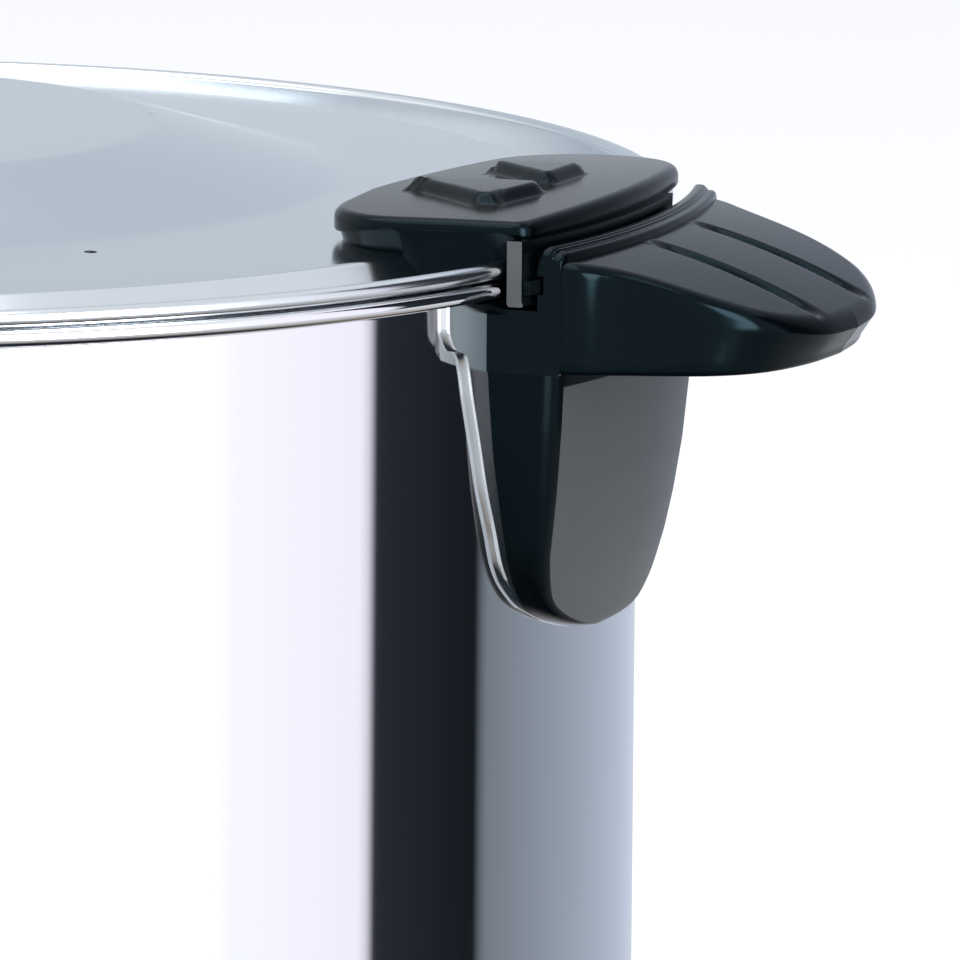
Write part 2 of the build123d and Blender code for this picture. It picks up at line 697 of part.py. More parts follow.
with BuildPart() as base_housing:
    turned([(0, BASE_FOOT_Z), (BASE_FOOT_R, BASE_FOOT_Z), (BASE_TOP_R, BASE_TOP_Z), (0, BASE_TOP_Z)])
    fillet(base_housing.edges().group_by(Axis.Z)[-1], radius=1.4)
    pod_depth = POD_FACE_Y - POD_BACK_Y
    slab(front(0, -POD_BACK_Y, CONTROL_Z), *POD_SIZE, pod_depth, POD_CORNER)
    slab(rear(0, POD_BACK_Y, INLET_Z), *REAR_POD_SIZE, pod_depth, POD_CORNER)
    fillet(base_housing.faces().sort_by(Axis.Y)[0].edges(), radius=1.8)
    fillet(base_housing.faces().sort_by(Axis.Y)[-1].edges(), radius=1.8)
    inner_top_r = housing_r(LEDGE_UNDER_Z) - BASE_WALL
    turned(
        [(0, 0), (housing_r(0) - BASE_WALL, 0), (inner_top_r, LEDGE_UNDER_Z), (0, LEDGE_UNDER_Z)],
        mode=Mode.SUBTRACT,
    )
    rod(level(0, 0, LEDGE_UNDER_Z - 1), LEDGE_R, 20, mode=Mode.SUBTRACT)
    rod(level(0, 0, LEDGE_Z), LIP_R, 20, mode=Mode.SUBTRACT)
    cavity = 2 * POD_WALL
    depth = pod_depth - POD_WALL
    slab(
        front(0, -POD_BACK_Y, CONTROL_Z),
        POD_SIZE[0] - cavity,
        POD_SIZE[1] - cavity,
        depth,
        POD_CORNER - POD_WALL,
        mode=Mode.SUBTRACT,
    )
    slab(
        rear(0, POD_BACK_Y, INLET_Z),
        REAR_POD_SIZE[0] - cavity,
        REAR_POD_SIZE[1] - cavity,
        depth,
        POD_CORNER - POD_WALL,
        mode=Mode.SUBTRACT,
    )
    slab(front(SWITCH_X, -POD_FACE_Y + 8, CONTROL_Z), *SWITCH_BODY, 12, mode=Mode.SUBTRACT)
    rod(front(LAMP_X, -POD_FACE_Y + 8, CONTROL_Z), LAMP_SLEEVE_R, 12, mode=Mode.SUBTRACT)
    slab(rear(0, POD_FACE_Y - 8, INLET_Z), *INLET_BODY, 12, mode=Mode.SUBTRACT)
    for side in (1, -1):
        rod(
            rear(side * INLET_SCREW_X, POD_FACE_Y - 8, INLET_Z),
            INLET_SCREW_R,
            12,
            mode=Mode.SUBTRACT,
        )
    for angle in SLOT_ANGLES:
        with BuildSketch(outward(LEDGE_R, angle, SLOT_Z)):
            SlotOverall(SLOT_HEIGHT, SLOT_WIDTH, rotation=90)
        extrude(amount=20, mode=Mode.SUBTRACT)
    add(base_bosses())
    ring_of_rods(BOSS_RING_R, 4, PLATE_Z, PLATE_SCREW_R, 16, mode=Mode.SUBTRACT)
save("base_housing", base_housing.part)

with BuildPart() as base_gasket:
    turned(
        [
            (LEDGE_R + 3.5, LEDGE_Z),
            (LIP_R, LEDGE_Z),
            (LIP_R, TANK_FOOT_Z),
            (LEDGE_R + 3.5, TANK_FOOT_Z),
        ]
    )
save("base_gasket", base_gasket.part)

with BuildPart() as base_plate:
    rod(level(0, 0, PLATE_Z), PLATE_R, PLATE_SHEET)
    ring_of_rods(BOSS_RING_R, 4, PLATE_Z, PLATE_SCREW_R, PLATE_SHEET, mode=Mode.SUBTRACT)
    ring_of_rods(FOOT_RING_R, 4, PLATE_Z, FOOT_SCREW_R, PLATE_SHEET, mode=Mode.SUBTRACT)
    with BuildSketch(level(0, 0, PLATE_Z)):
        with PolarLocations(62, 12):
            SlotOverall(24, 4)
    extrude(amount=PLATE_SHEET, mode=Mode.SUBTRACT)
save("base_plate", base_plate.part)

with BuildPart() as plate_screws:
    ring_of_rods(BOSS_RING_R, 4, PLATE_Z - 1.8, 3.0, 1.8)
    ring_of_rods(BOSS_RING_R, 4, PLATE_Z, PLATE_SCREW_R, 14)
save("plate_screws", plate_screws.part)

with BuildPart() as rubber_feet:
    ring_of_rods(FOOT_RING_R, 4, 0, FOOT_R, FOOT_HEIGHT)
    chamfer(rubber_feet.edges().group_by(Axis.Z)[0], length=1.0)
    ring_of_rods(FOOT_RING_R, 4, 0, FOOT_RECESS_R, FOOT_RECESS, mode=Mode.SUBTRACT)
    ring_of_rods(FOOT_RING_R, 4, 0, FOOT_SCREW_R, FOOT_HEIGHT, mode=Mode.SUBTRACT)
save("rubber_feet", rubber_feet.part)

with BuildPart() as foot_screws:
    ring_of_rods(FOOT_RING_R, 4, FOOT_RECESS - 2.2, 4.4, 2.2)
    ring_of_rods(FOOT_RING_R, 4, FOOT_RECESS, FOOT_SCREW_R, 12)
save("foot_screws", foot_screws.part)

with BuildPart() as foot_nuts:
    for angle in (45, 135, 225, 315):
        hexagon(level(*polar(FOOT_RING_R, angle, PLATE_Z + PLATE_SHEET)), 7.0, 3.0, FOOT_SCREW_R)
save("foot_nuts", foot_nuts.part)


# ---- controls and inlet ------------------------------------------------------

with BuildPart() as power_switch_body:
    face = front(SWITCH_X, -POD_FACE_Y, CONTROL_Z)
    slab(face, SWITCH_BODY[0] + 3, SWITCH_BODY[1] + 4, BEZEL, 2.0)
    fillet(power_switch_body.faces().sort_by(Axis.Y)[0].edges(), radius=0.8)
    slab(front(SWITCH_X, SWITCH_BACK_Y, CONTROL_Z), *SWITCH_BODY, POD_FACE_Y + SWITCH_BACK_Y)
    rod(
        sideways(SWITCH_X - ROCKER_HALF_X - 0.1, ROCKER_PIVOT_Y, CONTROL_Z),
        ROCKER_CAVITY_R,
        2 * ROCKER_HALF_X + 0.2,
        mode=Mode.SUBTRACT,
    )
    rod(
        sideways(SWITCH_X - ROCKER_HALF_X - 1.3, ROCKER_PIVOT_Y, CONTROL_Z),
        ROCKER_PIN_R + 0.05,
        2 * ROCKER_HALF_X + 2.6,
        mode=Mode.SUBTRACT,
    )
    for height in (-5, 5):
        slab(rear(SWITCH_X, SWITCH_BACK_Y, CONTROL_Z + height), 4.8, 0.8, 8)
save("power_switch_body", power_switch_body.part)

with BuildPart() as rocker_blank:
    with BuildSketch(sideways(SWITCH_X - ROCKER_HALF_X, ROCKER_PIVOT_Y, CONTROL_Z)):
        Circle(ROCKER_R)
        with BuildLine():
            dip = ROCKER_R * tan(radians(ROCKER_TILT))
            Polyline(
                (-3.2, 0), (-3.2 - dip, ROCKER_R), (ROCKER_R, ROCKER_R), (ROCKER_R, -ROCKER_R),
                (-3.2 - dip, -ROCKER_R), close=True,
            )
        make_face(mode=Mode.INTERSECT)
    extrude(amount=2 * ROCKER_HALF_X)
    rod(
        sideways(SWITCH_X - ROCKER_HALF_X - 1.2, ROCKER_PIVOT_Y, CONTROL_Z),
        ROCKER_PIN_R,
        2 * ROCKER_HALF_X + 2.4,
    )
rocker_axis = Axis((SWITCH_X, ROCKER_PIVOT_Y, CONTROL_Z), (1, 0, 0))
save("power_rocker", rocker_blank.part.rotate(rocker_axis, ROCKER_TILT))

with BuildPart() as lamp_bezel:
    rod(front(LAMP_X, -POD_FACE_Y, CONTROL_Z), LAMP_BEZEL_R, 1.6, LAMP_R)
    fillet(lamp_bezel.edges().group_by(Axis.Y)[0].sort_by(SortBy.LENGTH)[-1], radius=0.8)
    rod(front(LAMP_X, -POD_FACE_Y + 10, CONTROL_Z), LAMP_SLEEVE_R, 10, LAMP_R)
save("lamp_bezel", lamp_bezel.part)

with BuildPart() as indicator_lamp:
    rod(front(LAMP_X, -POD_FACE_Y + 14, CONTROL_Z), LAMP_R, 17.4)
    fillet(indicator_lamp.edges().group_by(Axis.Y)[0], radius=2.4)
save("indicator_lamp", indicator_lamp.part)

with BuildPart() as power_inlet:
    slab(rear(0, POD_FACE_Y, INLET_Z), 50, 24, BEZEL, 5.0)
    slab(rear(0, INLET_BACK_Y, INLET_Z), *INLET_BODY, POD_FACE_Y - INLET_BACK_Y)
    slab(
        rear(0, POD_FACE_Y + BEZEL - INLET_DEPTH, INLET_Z),
        *INLET_RECESS,
        INLET_DEPTH,
        2.0,
        mode=Mode.SUBTRACT,
    )
    for x, up in INLET_PINS:
        slab(rear(x, INLET_BACK_Y, INLET_Z + up), 2.0, 4.0, 10, mode=Mode.SUBTRACT)
    for side in (1, -1):
        rod(
            rear(side * INLET_SCREW_X, POD_FACE_Y, INLET_Z),
            INLET_SCREW_R,
            BEZEL,
            mode=Mode.SUBTRACT,
        )
save("power_inlet", power_inlet.part)

with BuildPart() as inlet_pins:
    for x, up in INLET_PINS:
        slab(rear(x, INLET_BACK_Y - 8, INLET_Z + up), 2.0, 4.0, 23)
save("inlet_pins", inlet_pins.part)

with BuildPart() as inlet_screws:
    for side in (1, -1):
        rod(rear(side * INLET_SCREW_X, POD_FACE_Y + BEZEL, INLET_Z), 2.8, 1.4)
        rod(rear(side * INLET_SCREW_X, POD_FACE_Y - 6, INLET_Z), INLET_SCREW_R, 6 + BEZEL)
save("inlet_screws", inlet_screws.part)


# ---- heating -----------------------------------------------------------------

with BuildPart() as brew_heater:
    rod(level(0, 0, HEATER_Z), HEATER_R, WELL_Z - SHEET - HEATER_Z, STUD_R)
    chamfer(brew_heater.edges().group_by(Axis.Z)[0].sort_by(SortBy.LENGTH)[-1], length=1.2)
    for across in (-22, 22):
        slab(level(0, across, HEATER_Z - 9), 6.3, 0.8, 9)
save("brew_heater", brew_heater.part)

with BuildPart() as heater_clamp:
    slab(level(0, 0, HEATER_Z - 2), 54, 13, 2, 5.0)
    rod(level(0, 0, HEATER_Z - 2), STUD_R, 2, mode=Mode.SUBTRACT)
save("heater_clamp", heater_clamp.part)

with BuildPart() as clamp_nut:
    hexagon(level(0, 0, SHIELD_Z + SHEET), 10.0, HEATER_Z - 2 - SHIELD_Z - SHEET, STUD_R)
save("clamp_nut", clamp_nut.part)

with BuildPart() as heat_shield:
    turned(
        [
            (STUD_R, SHIELD_Z),
            (SHIELD_R, SHIELD_Z),
            (SHIELD_R + 5, SHIELD_Z + 8),
            (SHIELD_R + 4.2, SHIELD_Z + 8),
            (SHIELD_R - 0.5, SHIELD_Z + SHEET),
            (STUD_R, SHIELD_Z + SHEET),
        ]
    )
    for across in (-22, 22):
        slab(level(0, across, SHIELD_Z - 1), 14, 8, 3, mode=Mode.SUBTRACT)
save("heat_shield", heat_shield.part)

with BuildPart() as shield_nut:
    hexagon(level(0, 0, SHIELD_Z - 5), 10.0, 5.0, STUD_R)
save("shield_nut", shield_nut.part)

with BuildPart() as warm_heater:
    rod(level(0, 0, FLOOR_Z - SHEET - 4.5), RING_R[1], 4.5, RING_R[0])
    for across in (-68, 68):
        slab(level(0, across, FLOOR_Z - SHEET - 11), 6.3, 0.8, 7)
save("warm_heater", warm_heater.part)

with BuildPart() as thermostat:
    rod(level(STAT_X, 0, FLOOR_Z - SHEET - 2), STAT_R + 1, 2)
    rod(level(STAT_X, 0, FLOOR_Z - SHEET - 12), STAT_R, 10)
    for across in (-5, 5):
        slab(level(STAT_X, across, FLOOR_Z - SHEET - 18), 6.3, 0.8, 6)
save("thermostat", thermostat.part)

with BuildPart() as thermal_cutoff:
    slab(level(-STAT_X, 0, FLOOR_Z - SHEET - 7), 9, 24, 7, 2.0)
    for across in (-8, 8):
        slab(level(-STAT_X, across, FLOOR_Z - SHEET - 12), 3.0, 0.8, 5)
save("thermal_cutoff", thermal_cutoff.part)

with BuildPart() as terminal_block:
    slab(level(0, 62, PLATE_Z + PLATE_SHEET), 44, 16, 14, 1.5)
    with BuildSketch(level(0, 62, PLATE_Z + PLATE_SHEET + 6)):
        with GridLocations(14, 1, 3, 1):
            Circle(3.2)
    extrude(amount=8, mode=Mode.SUBTRACT)
save("terminal_block", terminal_block.part)


def lead(points, radii):
    """One insulated wire along a route of straight runs and bends."""
    with BuildPart() as wire:
        with BuildLine() as route:
            FilletPolyline(*points, radius=radii)
        path = route.wires()[0]
        with BuildSketch(Plane(origin=path @ 0, z_dir=path % 0)) as section:
            Circle(WIRE_R)
        sweep(section.sketch, path=path)
    return wire.part


PIN_Y = INLET_BACK_Y - 8
SWITCH_TAG_Y = SWITCH_BACK_Y + 8
BLOCK_Z = PLATE_Z + PLATE_SHEET + 4

with BuildPart() as live_leads:
    add(
        lead(
            [
                (-7, PIN_Y, INLET_Z + 2),
                (-7, 100, INLET_Z + 2),
                (-48, 62, 34),
                (-58, 0, 30),
                (-48, -66, 36),
                (SWITCH_X, -98, CONTROL_Z + 5),
                (SWITCH_X, SWITCH_TAG_Y, CONTROL_Z + 5),
            ],
            [10, 24, 40, 40, 14],
        )
    )
    add(
        lead(
            [
                (SWITCH_X, SWITCH_TAG_Y, CONTROL_Z - 5),
                (SWITCH_X, -98, CONTROL_Z - 5),
                (0, -60, 36),
                (0, -22, 44),
                (0, -22, HEATER_Z - 9),
            ],
            [10, 20, 12],
        )
    )
save("live_leads", live_leads.part)

with BuildPart() as neutral_leads:
    add(lead([(7, PIN_Y, INLET_Z + 2), (7, 100, INLET_Z + 2), (14, 84, BLOCK_Z), (14, 70, BLOCK_Z)], [8, 8]))
    add(lead([(0, 54, BLOCK_Z), (0, 40, BLOCK_Z), (0, 22, 44), (0, 22, HEATER_Z - 9)], [8, 12]))
save("neutral_leads", neutral_leads.part)

with BuildPart() as lamp_leads:
    lamp_back = -POD_FACE_Y + 14
    add(
        lead(
            [
                (LAMP_X, lamp_back, CONTROL_Z),
                (LAMP_X, lamp_back + 20, CONTROL_Z),
                (36, -70, 30),
                (34, 10, 24),
                (14, 40, BLOCK_Z),
                (14, 54, BLOCK_Z),
            ],
            [10, 24, 24, 8],
        )
    )
save("lamp_leads", lamp_leads.part)


# ---- faucet ------------------------------------------------------------------

with BuildPart() as faucet_body:
    rod(front(0, SHANK_BACK_Y, FAUCET_Z), SHANK_R, -STEM_Y + SHANK_BACK_Y)
    rod(front(0, COLLAR_Y, FAUCET_Z), 12.0, 4.0)
    fillet(faucet_body.edges().filter_by(lambda e: e.radius > 11 if e.geom_type == GeomType.CIRCLE else False), 1.0)
    with BuildSketch(front(0, COLLAR_Y - 4, FAUCET_Z)):
        Circle(9.5)
    with BuildSketch(front(0, STEM_Y, FAUCET_Z)):
        Circle(8.0)
    loft()
    turned(
        [
            (0, SPOUT_Z),
            (SPOUT_R, SPOUT_Z),
            (SPOUT_R, SEAT_Z - 8),
            (CHAMBER_R, SEAT_Z - 1),
            (CHAMBER_R, NECK_Z),
            (0, NECK_Z),
        ],
        y=STEM_Y,
    )
    turned(
        [
            (0, SPOUT_Z),
            (SPOUT_BORE_R, SPOUT_Z),
            (SPOUT_BORE_R, SEAT_Z),
            (CHAMBER_BORE_R, SEAT_Z),
            (CHAMBER_BORE_R, NECK_Z),
            (0, NECK_Z),
        ],
        y=STEM_Y,
        mode=Mode.SUBTRACT,
    )
    rod(front(0, SHANK_BACK_Y, FAUCET_Z), SHANK_BORE_R, -STEM_Y + SHANK_BACK_Y, mode=Mode.SUBTRACT)
save("faucet_body", faucet_body.part)

with BuildPart() as faucet_gasket_outer:
    rod(front(0, -TANK_R + 4, FAUCET_Z), 12.0, 7.0, SHANK_R)
    rod(level(0, 0, FAUCET_Z - 20), TANK_R, 40, mode=Mode.SUBTRACT)
save("faucet_gasket_outer", faucet_gasket_outer.part)

with BuildPart() as faucet_gasket_inner:
    rod(front(0, -TANK_IN_R + 3.2, FAUCET_Z), 11.5, 5.0, SHANK_R)
    rod(level(0, 0, FAUCET_Z - 20), TANK_IN_R, 40, mode=Mode.INTERSECT)
save("faucet_gasket_inner", faucet_gasket_inner.part)

with BuildPart() as faucet_nut:
    hexagon(front(0, -TANK_IN_R + 8.7, FAUCET_Z), 22.0, 5.5, SHANK_R)
save("faucet_nut", faucet_nut.part)

with BuildPart() as faucet_bonnet:
    turned(
        [
            (CHAMBER_R, NECK_Z - 5),
            (BONNET_R, NECK_Z - 5),
            (BONNET_R, BONNET_TOP_Z - 1.5),
            (BONNET_R - 1.5, BONNET_TOP_Z),
            (4.2, BONNET_TOP_Z),
            (4.2, BONNET_TOP_Z + 1.4),
            (GUIDE_R, BONNET_TOP_Z + 1.4),
            (GUIDE_R, NECK_Z),
            (CHAMBER_R, NECK_Z),
        ],
        y=STEM_Y,
    )
    for start in (EAR_X[0], -EAR_X[1]):
        with BuildSketch(sideways(start, PIVOT_Y, PIVOT_Z)):
            Circle(3.8)
            with Locations((1.2, BONNET_TOP_Z - 1.5 - PIVOT_Z)):
                Rectangle(11.0, 2.0)
            make_hull()
        extrude(amount=EAR_X[1] - EAR_X[0])
    rod(sideways(-EAR_X[1], PIVOT_Y, PIVOT_Z), PIVOT_R, 2 * EAR_X[1], mode=Mode.SUBTRACT)
save("faucet_bonnet", faucet_bonnet.part)

with BuildPart() as faucet_pivot_pin:
    rod(sideways(-EAR_X[1], PIVOT_Y, PIVOT_Z), PIVOT_R, 2 * EAR_X[1])
    for side in (1, -1):
        rod(sideways(side * EAR_X[1], PIVOT_Y, PIVOT_Z, side), 2.4, 1.0)
save("faucet_pivot_pin", faucet_pivot_pin.part)

with BuildPart() as faucet_stem:
    rod(level(0, STEM_Y, SEAT_Z + 1.5), STEM_R, YOKE_PIN_Z + 3.2 - SEAT_Z - 1.5)
    rod(sideways(-4.0, STEM_Y, YOKE_PIN_Z), YOKE_PIN_R, 8.0)
save("faucet_stem", faucet_stem.part)

with BuildPart() as faucet_seat_cup:
    turned(
        [
            (0, SEAT_Z),
            (7.2, SEAT_Z),
            (7.2, SEAT_Z + 3),
            (3.8, SEAT_Z + 3),
            (3.8, SEAT_Z + 7),
            (STEM_R, SEAT_Z + 7),
            (STEM_R, SEAT_Z + 1.5),
            (0, SEAT_Z + 1.5),
        ],
        y=STEM_Y,
    )
save("faucet_seat_cup", faucet_seat_cup.part)

with BuildPart() as faucet_spring:
    coil_height = SPRING_Z[1] - SPRING_Z[0]
    with BuildLine() as coil:
        Helix(coil_height / SPRING_TURNS, coil_height, SPRING_R, center=(0, STEM_Y, SPRING_Z[0]))
    wire_path = coil.wires()[0]
    with BuildSketch(Plane(origin=wire_path @ 0, z_dir=wire_path % 0)):
        Circle(SPRING_WIRE_R)
    sweep(path=wire_path, is_frenet=True)
save("faucet_spring", faucet_spring.part)


def paddle_section(distance, width, thickness):
    """One section across the lever's paddle at a distance up from the pivot."""
    lean = radians(PADDLE_LEAN)
    up = Vector(0, -sin(lean), cos(lean))
    with BuildSketch(Plane(origin=Vector(0, PIVOT_Y, PIVOT_Z) + up * distance, x_dir=(1, 0, 0), z_dir=up)) as section:
        RectangleRounded(width, thickness, thickness * 0.42)
    return section.sketch


with BuildPart() as tap_lever:
    add(paddle_section(2.4, 8.0, 5.6))
    add(paddle_section(26.0, 14.0, 5.0))
    add(paddle_section(46.0, 22.0, 5.6))
    add(paddle_section(58.0, 22.0, 4.4))
    loft()
    fillet(tap_lever.faces().sort_by(Axis.Z)[-1].edges(), radius=1.6)
    rod(sideways(-HUB_HALF_X, PIVOT_Y, PIVOT_Z), HUB_R, 2 * HUB_HALF_X)
    for start in (TINE_X[0], -TINE_X[1]):
        with BuildSketch(sideways(start, PIVOT_Y, PIVOT_Z)):
            with Locations(Location((0, 0), -CRANK_ANGLE)):
                with Locations((5.0, 0)):
                    Rectangle(11.0, 5.6)
                with Locations((8.5, 0)):
                    Rectangle(5.4, 2.7, mode=Mode.SUBTRACT)
        extrude(amount=TINE_X[1] - TINE_X[0])
    rod(sideways(-HUB_HALF_X, PIVOT_Y, PIVOT_Z), PIVOT_R + 0.06, 2 * HUB_HALF_X, mode=Mode.SUBTRACT)
save("tap_lever", tap_lever.part)


# ---- percolator --------------------------------------------------------------

with BuildPart() as pump_tube:
    rod(level(0, 0, TUBE_FOOT_Z), TUBE_R, TUBE_TOP_Z - TUBE_FOOT_Z, TUBE_BORE_R)
    rod(level(0, 0, TUBE_FOOT_Z), 8.5, 1.0, TUBE_BORE_R)
    rod(level(0, 0, TUBE_SHOULDER_Z), 8.0, 2.0, TUBE_BORE_R)
save("pump_tube", pump_tube.part)

with BuildPart() as pump_dome:
    turned(
        [
            (DOME_R, WELL_Z),
            (DOME_R, WELL_Z + 3),
            (8.0, TUBE_SHOULDER_Z),
            (TUBE_R, TUBE_SHOULDER_Z),
            (TUBE_R, TUBE_SHOULDER_Z - 1.2),
            (DOME_R - 1, WELL_Z + 2.2),
            (DOME_R - 1, WELL_Z),
        ]
    )
    slab(level(0, 0, WELL_Z), 2 * DOME_R + 2, 8, 2.0, mode=Mode.SUBTRACT)
    slab(level(0, 0, WELL_Z), 8, 2 * DOME_R + 2, 2.0, mode=Mode.SUBTRACT)
save("pump_dome", pump_dome.part)

with BuildPart() as pump_washer:
    rod(level(0, 0, TUBE_FOOT_Z + 1), WASHER_R, SHEET, SLEEVE_R)
save("pump_washer", pump_washer.part)

with BuildPart() as basket_stop_ring:
    rod(level(0, 0, BASKET_FLOOR_Z - 4), 10.0, 4.0, TUBE_R)
save("basket_stop_ring", basket_stop_ring.part)

with BuildPart() as coffee_basket:
    turned(
        [
            (SLEEVE_R, BASKET_FLOOR_Z),
            (BASKET_R - 4, BASKET_FLOOR_Z),
            (BASKET_R, BASKET_FLOOR_Z + 4),
            (BASKET_R, BASKET_RIM_Z - BASKET_BEAD_R),
            (BASKET_R - SHEET, BASKET_RIM_Z - BASKET_BEAD_R),
            (BASKET_R - SHEET, BASKET_FLOOR_Z + 4.3),
            (BASKET_R - 4.3, BASKET_FLOOR_Z + SHEET),
            (SLEEVE_R + SHEET, BASKET_FLOOR_Z + SHEET),
            (SLEEVE_R + SHEET, BASKET_FLOOR_Z + 30),
            (SLEEVE_R, BASKET_FLOOR_Z + 30),
        ]
    )
    with BuildSketch(Plane.XZ):
        with Locations((BASKET_R + 0.4, BASKET_RIM_Z - BASKET_BEAD_R)):
            Circle(BASKET_BEAD_R)
    revolve(axis=Axis.Z)
    for ring_r, count in ((26, 8), (44, 14), (62, 18), (80, 22)):
        ring_of_rods(ring_r, count, BASKET_FLOOR_Z - 1, 1.6, 3, start=0, mode=Mode.SUBTRACT)
save("coffee_basket", coffee_basket.part)

with BuildPart() as basket_cover:
    turned(
        [
            (SLEEVE_R + 0.4, BASKET_RIM_Z),
            (BASKET_R - 1.8 - SHEET, BASKET_RIM_Z),
            (BASKET_R - 1.8 - SHEET, BASKET_RIM_Z - 6),
            (BASKET_R - 1.8, BASKET_RIM_Z - 6),
            (BASKET_R - 1.8, BASKET_RIM_Z),
            (BASKET_R + 1.4, BASKET_RIM_Z),
            (BASKET_R + 1.4, BASKET_RIM_Z + SHEET),
            (SLEEVE_R + 1.2, BASKET_RIM_Z + SHEET),
            (SLEEVE_R + 1.2, BASKET_RIM_Z + 6),
            (SLEEVE_R + 0.4, BASKET_RIM_Z + 6),
        ]
    )
    for ring_r, count in ((30, 8), (52, 12), (74, 16)):
        ring_of_rods(ring_r, count, BASKET_RIM_Z - 1, 1.6, 3, start=0, mode=Mode.SUBTRACT)
save("basket_cover", basket_cover.part)

print(len(PARTS), "pieces")
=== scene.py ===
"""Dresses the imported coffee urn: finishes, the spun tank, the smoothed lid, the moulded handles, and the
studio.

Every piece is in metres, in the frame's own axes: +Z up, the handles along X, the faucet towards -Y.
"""

import json
from math import asin, atan2, cos, hypot, pi, radians, sin, sqrt

import bmesh
import bpy
from bpy.props import FloatProperty, FloatVectorProperty, PointerProperty
from mathutils import Matrix, Vector


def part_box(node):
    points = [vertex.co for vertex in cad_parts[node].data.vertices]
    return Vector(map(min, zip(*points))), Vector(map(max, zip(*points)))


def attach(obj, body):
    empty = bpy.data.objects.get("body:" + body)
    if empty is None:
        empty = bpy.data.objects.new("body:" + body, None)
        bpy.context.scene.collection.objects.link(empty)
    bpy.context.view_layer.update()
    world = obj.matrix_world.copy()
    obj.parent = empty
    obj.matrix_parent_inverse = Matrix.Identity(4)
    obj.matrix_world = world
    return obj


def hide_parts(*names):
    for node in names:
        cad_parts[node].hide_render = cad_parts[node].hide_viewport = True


bl_info = {
    "name": "Coffee Urn",
    "version": (1, 0, 0),
    "blender": (4, 5, 0),
    "location": "3D View > Sidebar > Coffee Urn",
    "description": "Builds the finished look of a percolating coffee urn round its CAD frame",
    "category": "Object",
}

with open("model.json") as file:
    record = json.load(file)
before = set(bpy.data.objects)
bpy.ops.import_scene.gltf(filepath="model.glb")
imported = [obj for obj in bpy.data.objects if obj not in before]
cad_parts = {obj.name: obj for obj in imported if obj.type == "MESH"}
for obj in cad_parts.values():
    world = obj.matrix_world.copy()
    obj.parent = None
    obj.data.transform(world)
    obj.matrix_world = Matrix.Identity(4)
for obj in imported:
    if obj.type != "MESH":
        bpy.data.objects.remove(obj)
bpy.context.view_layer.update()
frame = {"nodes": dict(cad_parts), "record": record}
NODES = frame["nodes"]
BODY_OF = {node: body for body, members in frame["record"]["behaviour"]["bodies"].items() for node in members}

MM = 0.001
TANK_LOW, TANK_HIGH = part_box("tank_shell")
AXIS_Y = (TANK_LOW.y + TANK_HIGH.y) / 2
AXIS = Vector((0, AXIS_Y, 0))
RIM_R = (TANK_HIGH.x - TANK_LOW.x) / 2
# The middle of the lid's rolled rim, which rests on the tank's.
RIM_Z = TANK_HIGH.z + 1.65 * MM


# ---- sizes, colours and stage settings ---------------------------------------


def length(name, description, value):
    """A length property with its default in millimetres."""
    return FloatProperty(name=name, description=description, default=value * MM, unit="LENGTH", precision=5)


def colour(name, description, code):
    """A colour property with its default as an sRGB hex code."""
    return FloatVectorProperty(
        name=name, description=description, default=linear(code), subtype="COLOR", min=0, max=1, size=3
    )


def angle(name, description, value):
    """An angle property with its default in radians."""
    return FloatProperty(name=name, description=description, default=value, unit="ROTATION")


def linear(code):
    """The linear colour of an sRGB hex code."""
    parts = [int(code[i : i + 2], 16) / 255 for i in (0, 2, 4)]
    return tuple(c / 12.92 if c <= 0.04045 else ((c + 0.055) / 1.055) ** 2.4 for c in parts)


class UrnSizes(bpy.types.PropertyGroup):
    """Sizes of the sheet-metal work."""

    bead: length("Rim bead", "Radius of the rolled rims", 1.35)
    wall: length("Wall radius", "Outer radius of the tank's wall", 134.5)
    sheet: length("Sheet", "Thickness of the tank's sheet", 0.8)


class UrnFinish(bpy.types.PropertyGroup):
    """Colours of the finishes."""

    polished: colour("Polished steel", "Mirror-polished stainless steel", "E9EAEE")
    satin: colour("Satin steel", "Satin stainless steel of the lid", "D3D9DE")
    # The faint blue cast of the moulding is painted light: it stands for bluish reflected light.
    moulding: colour("Moulding", "Black phenolic of the handles and tabs", "03070A")
    # Lighter than the moulding: partly the real spark-eroded grain, partly painted sheen.
    eroded: colour("Textured moulding", "Black phenolic where the mould is spark-eroded", "3B3F43")
    plastic: colour("Base plastic", "Black plastic of the base", "17181A")
    rubber: colour("Rubber", "Rubber of the feet", "101010")
    silicone: colour("Silicone", "White silicone of the seals", "E4E1D8")
    aluminium: colour("Aluminium", "Cast and pressed aluminium of the percolator", "CDCFD2")
    zinc: colour("Zinc", "Galvanised steel under the base", "A9ADB0")
    brass: colour("Nickelled brass", "Pins of the inlet", "C8B98F")
    ceramic: colour("Ceramic", "Glazed ceramic of the terminals", "E6E0D2")
    lamp: colour("Lamp", "Amber lens of the indicator lamp", "E0701A")
    live: colour("Live lead", "Red insulation", "A0201A")
    neutral: colour("Neutral lead", "Blue insulation", "1F3C8C")


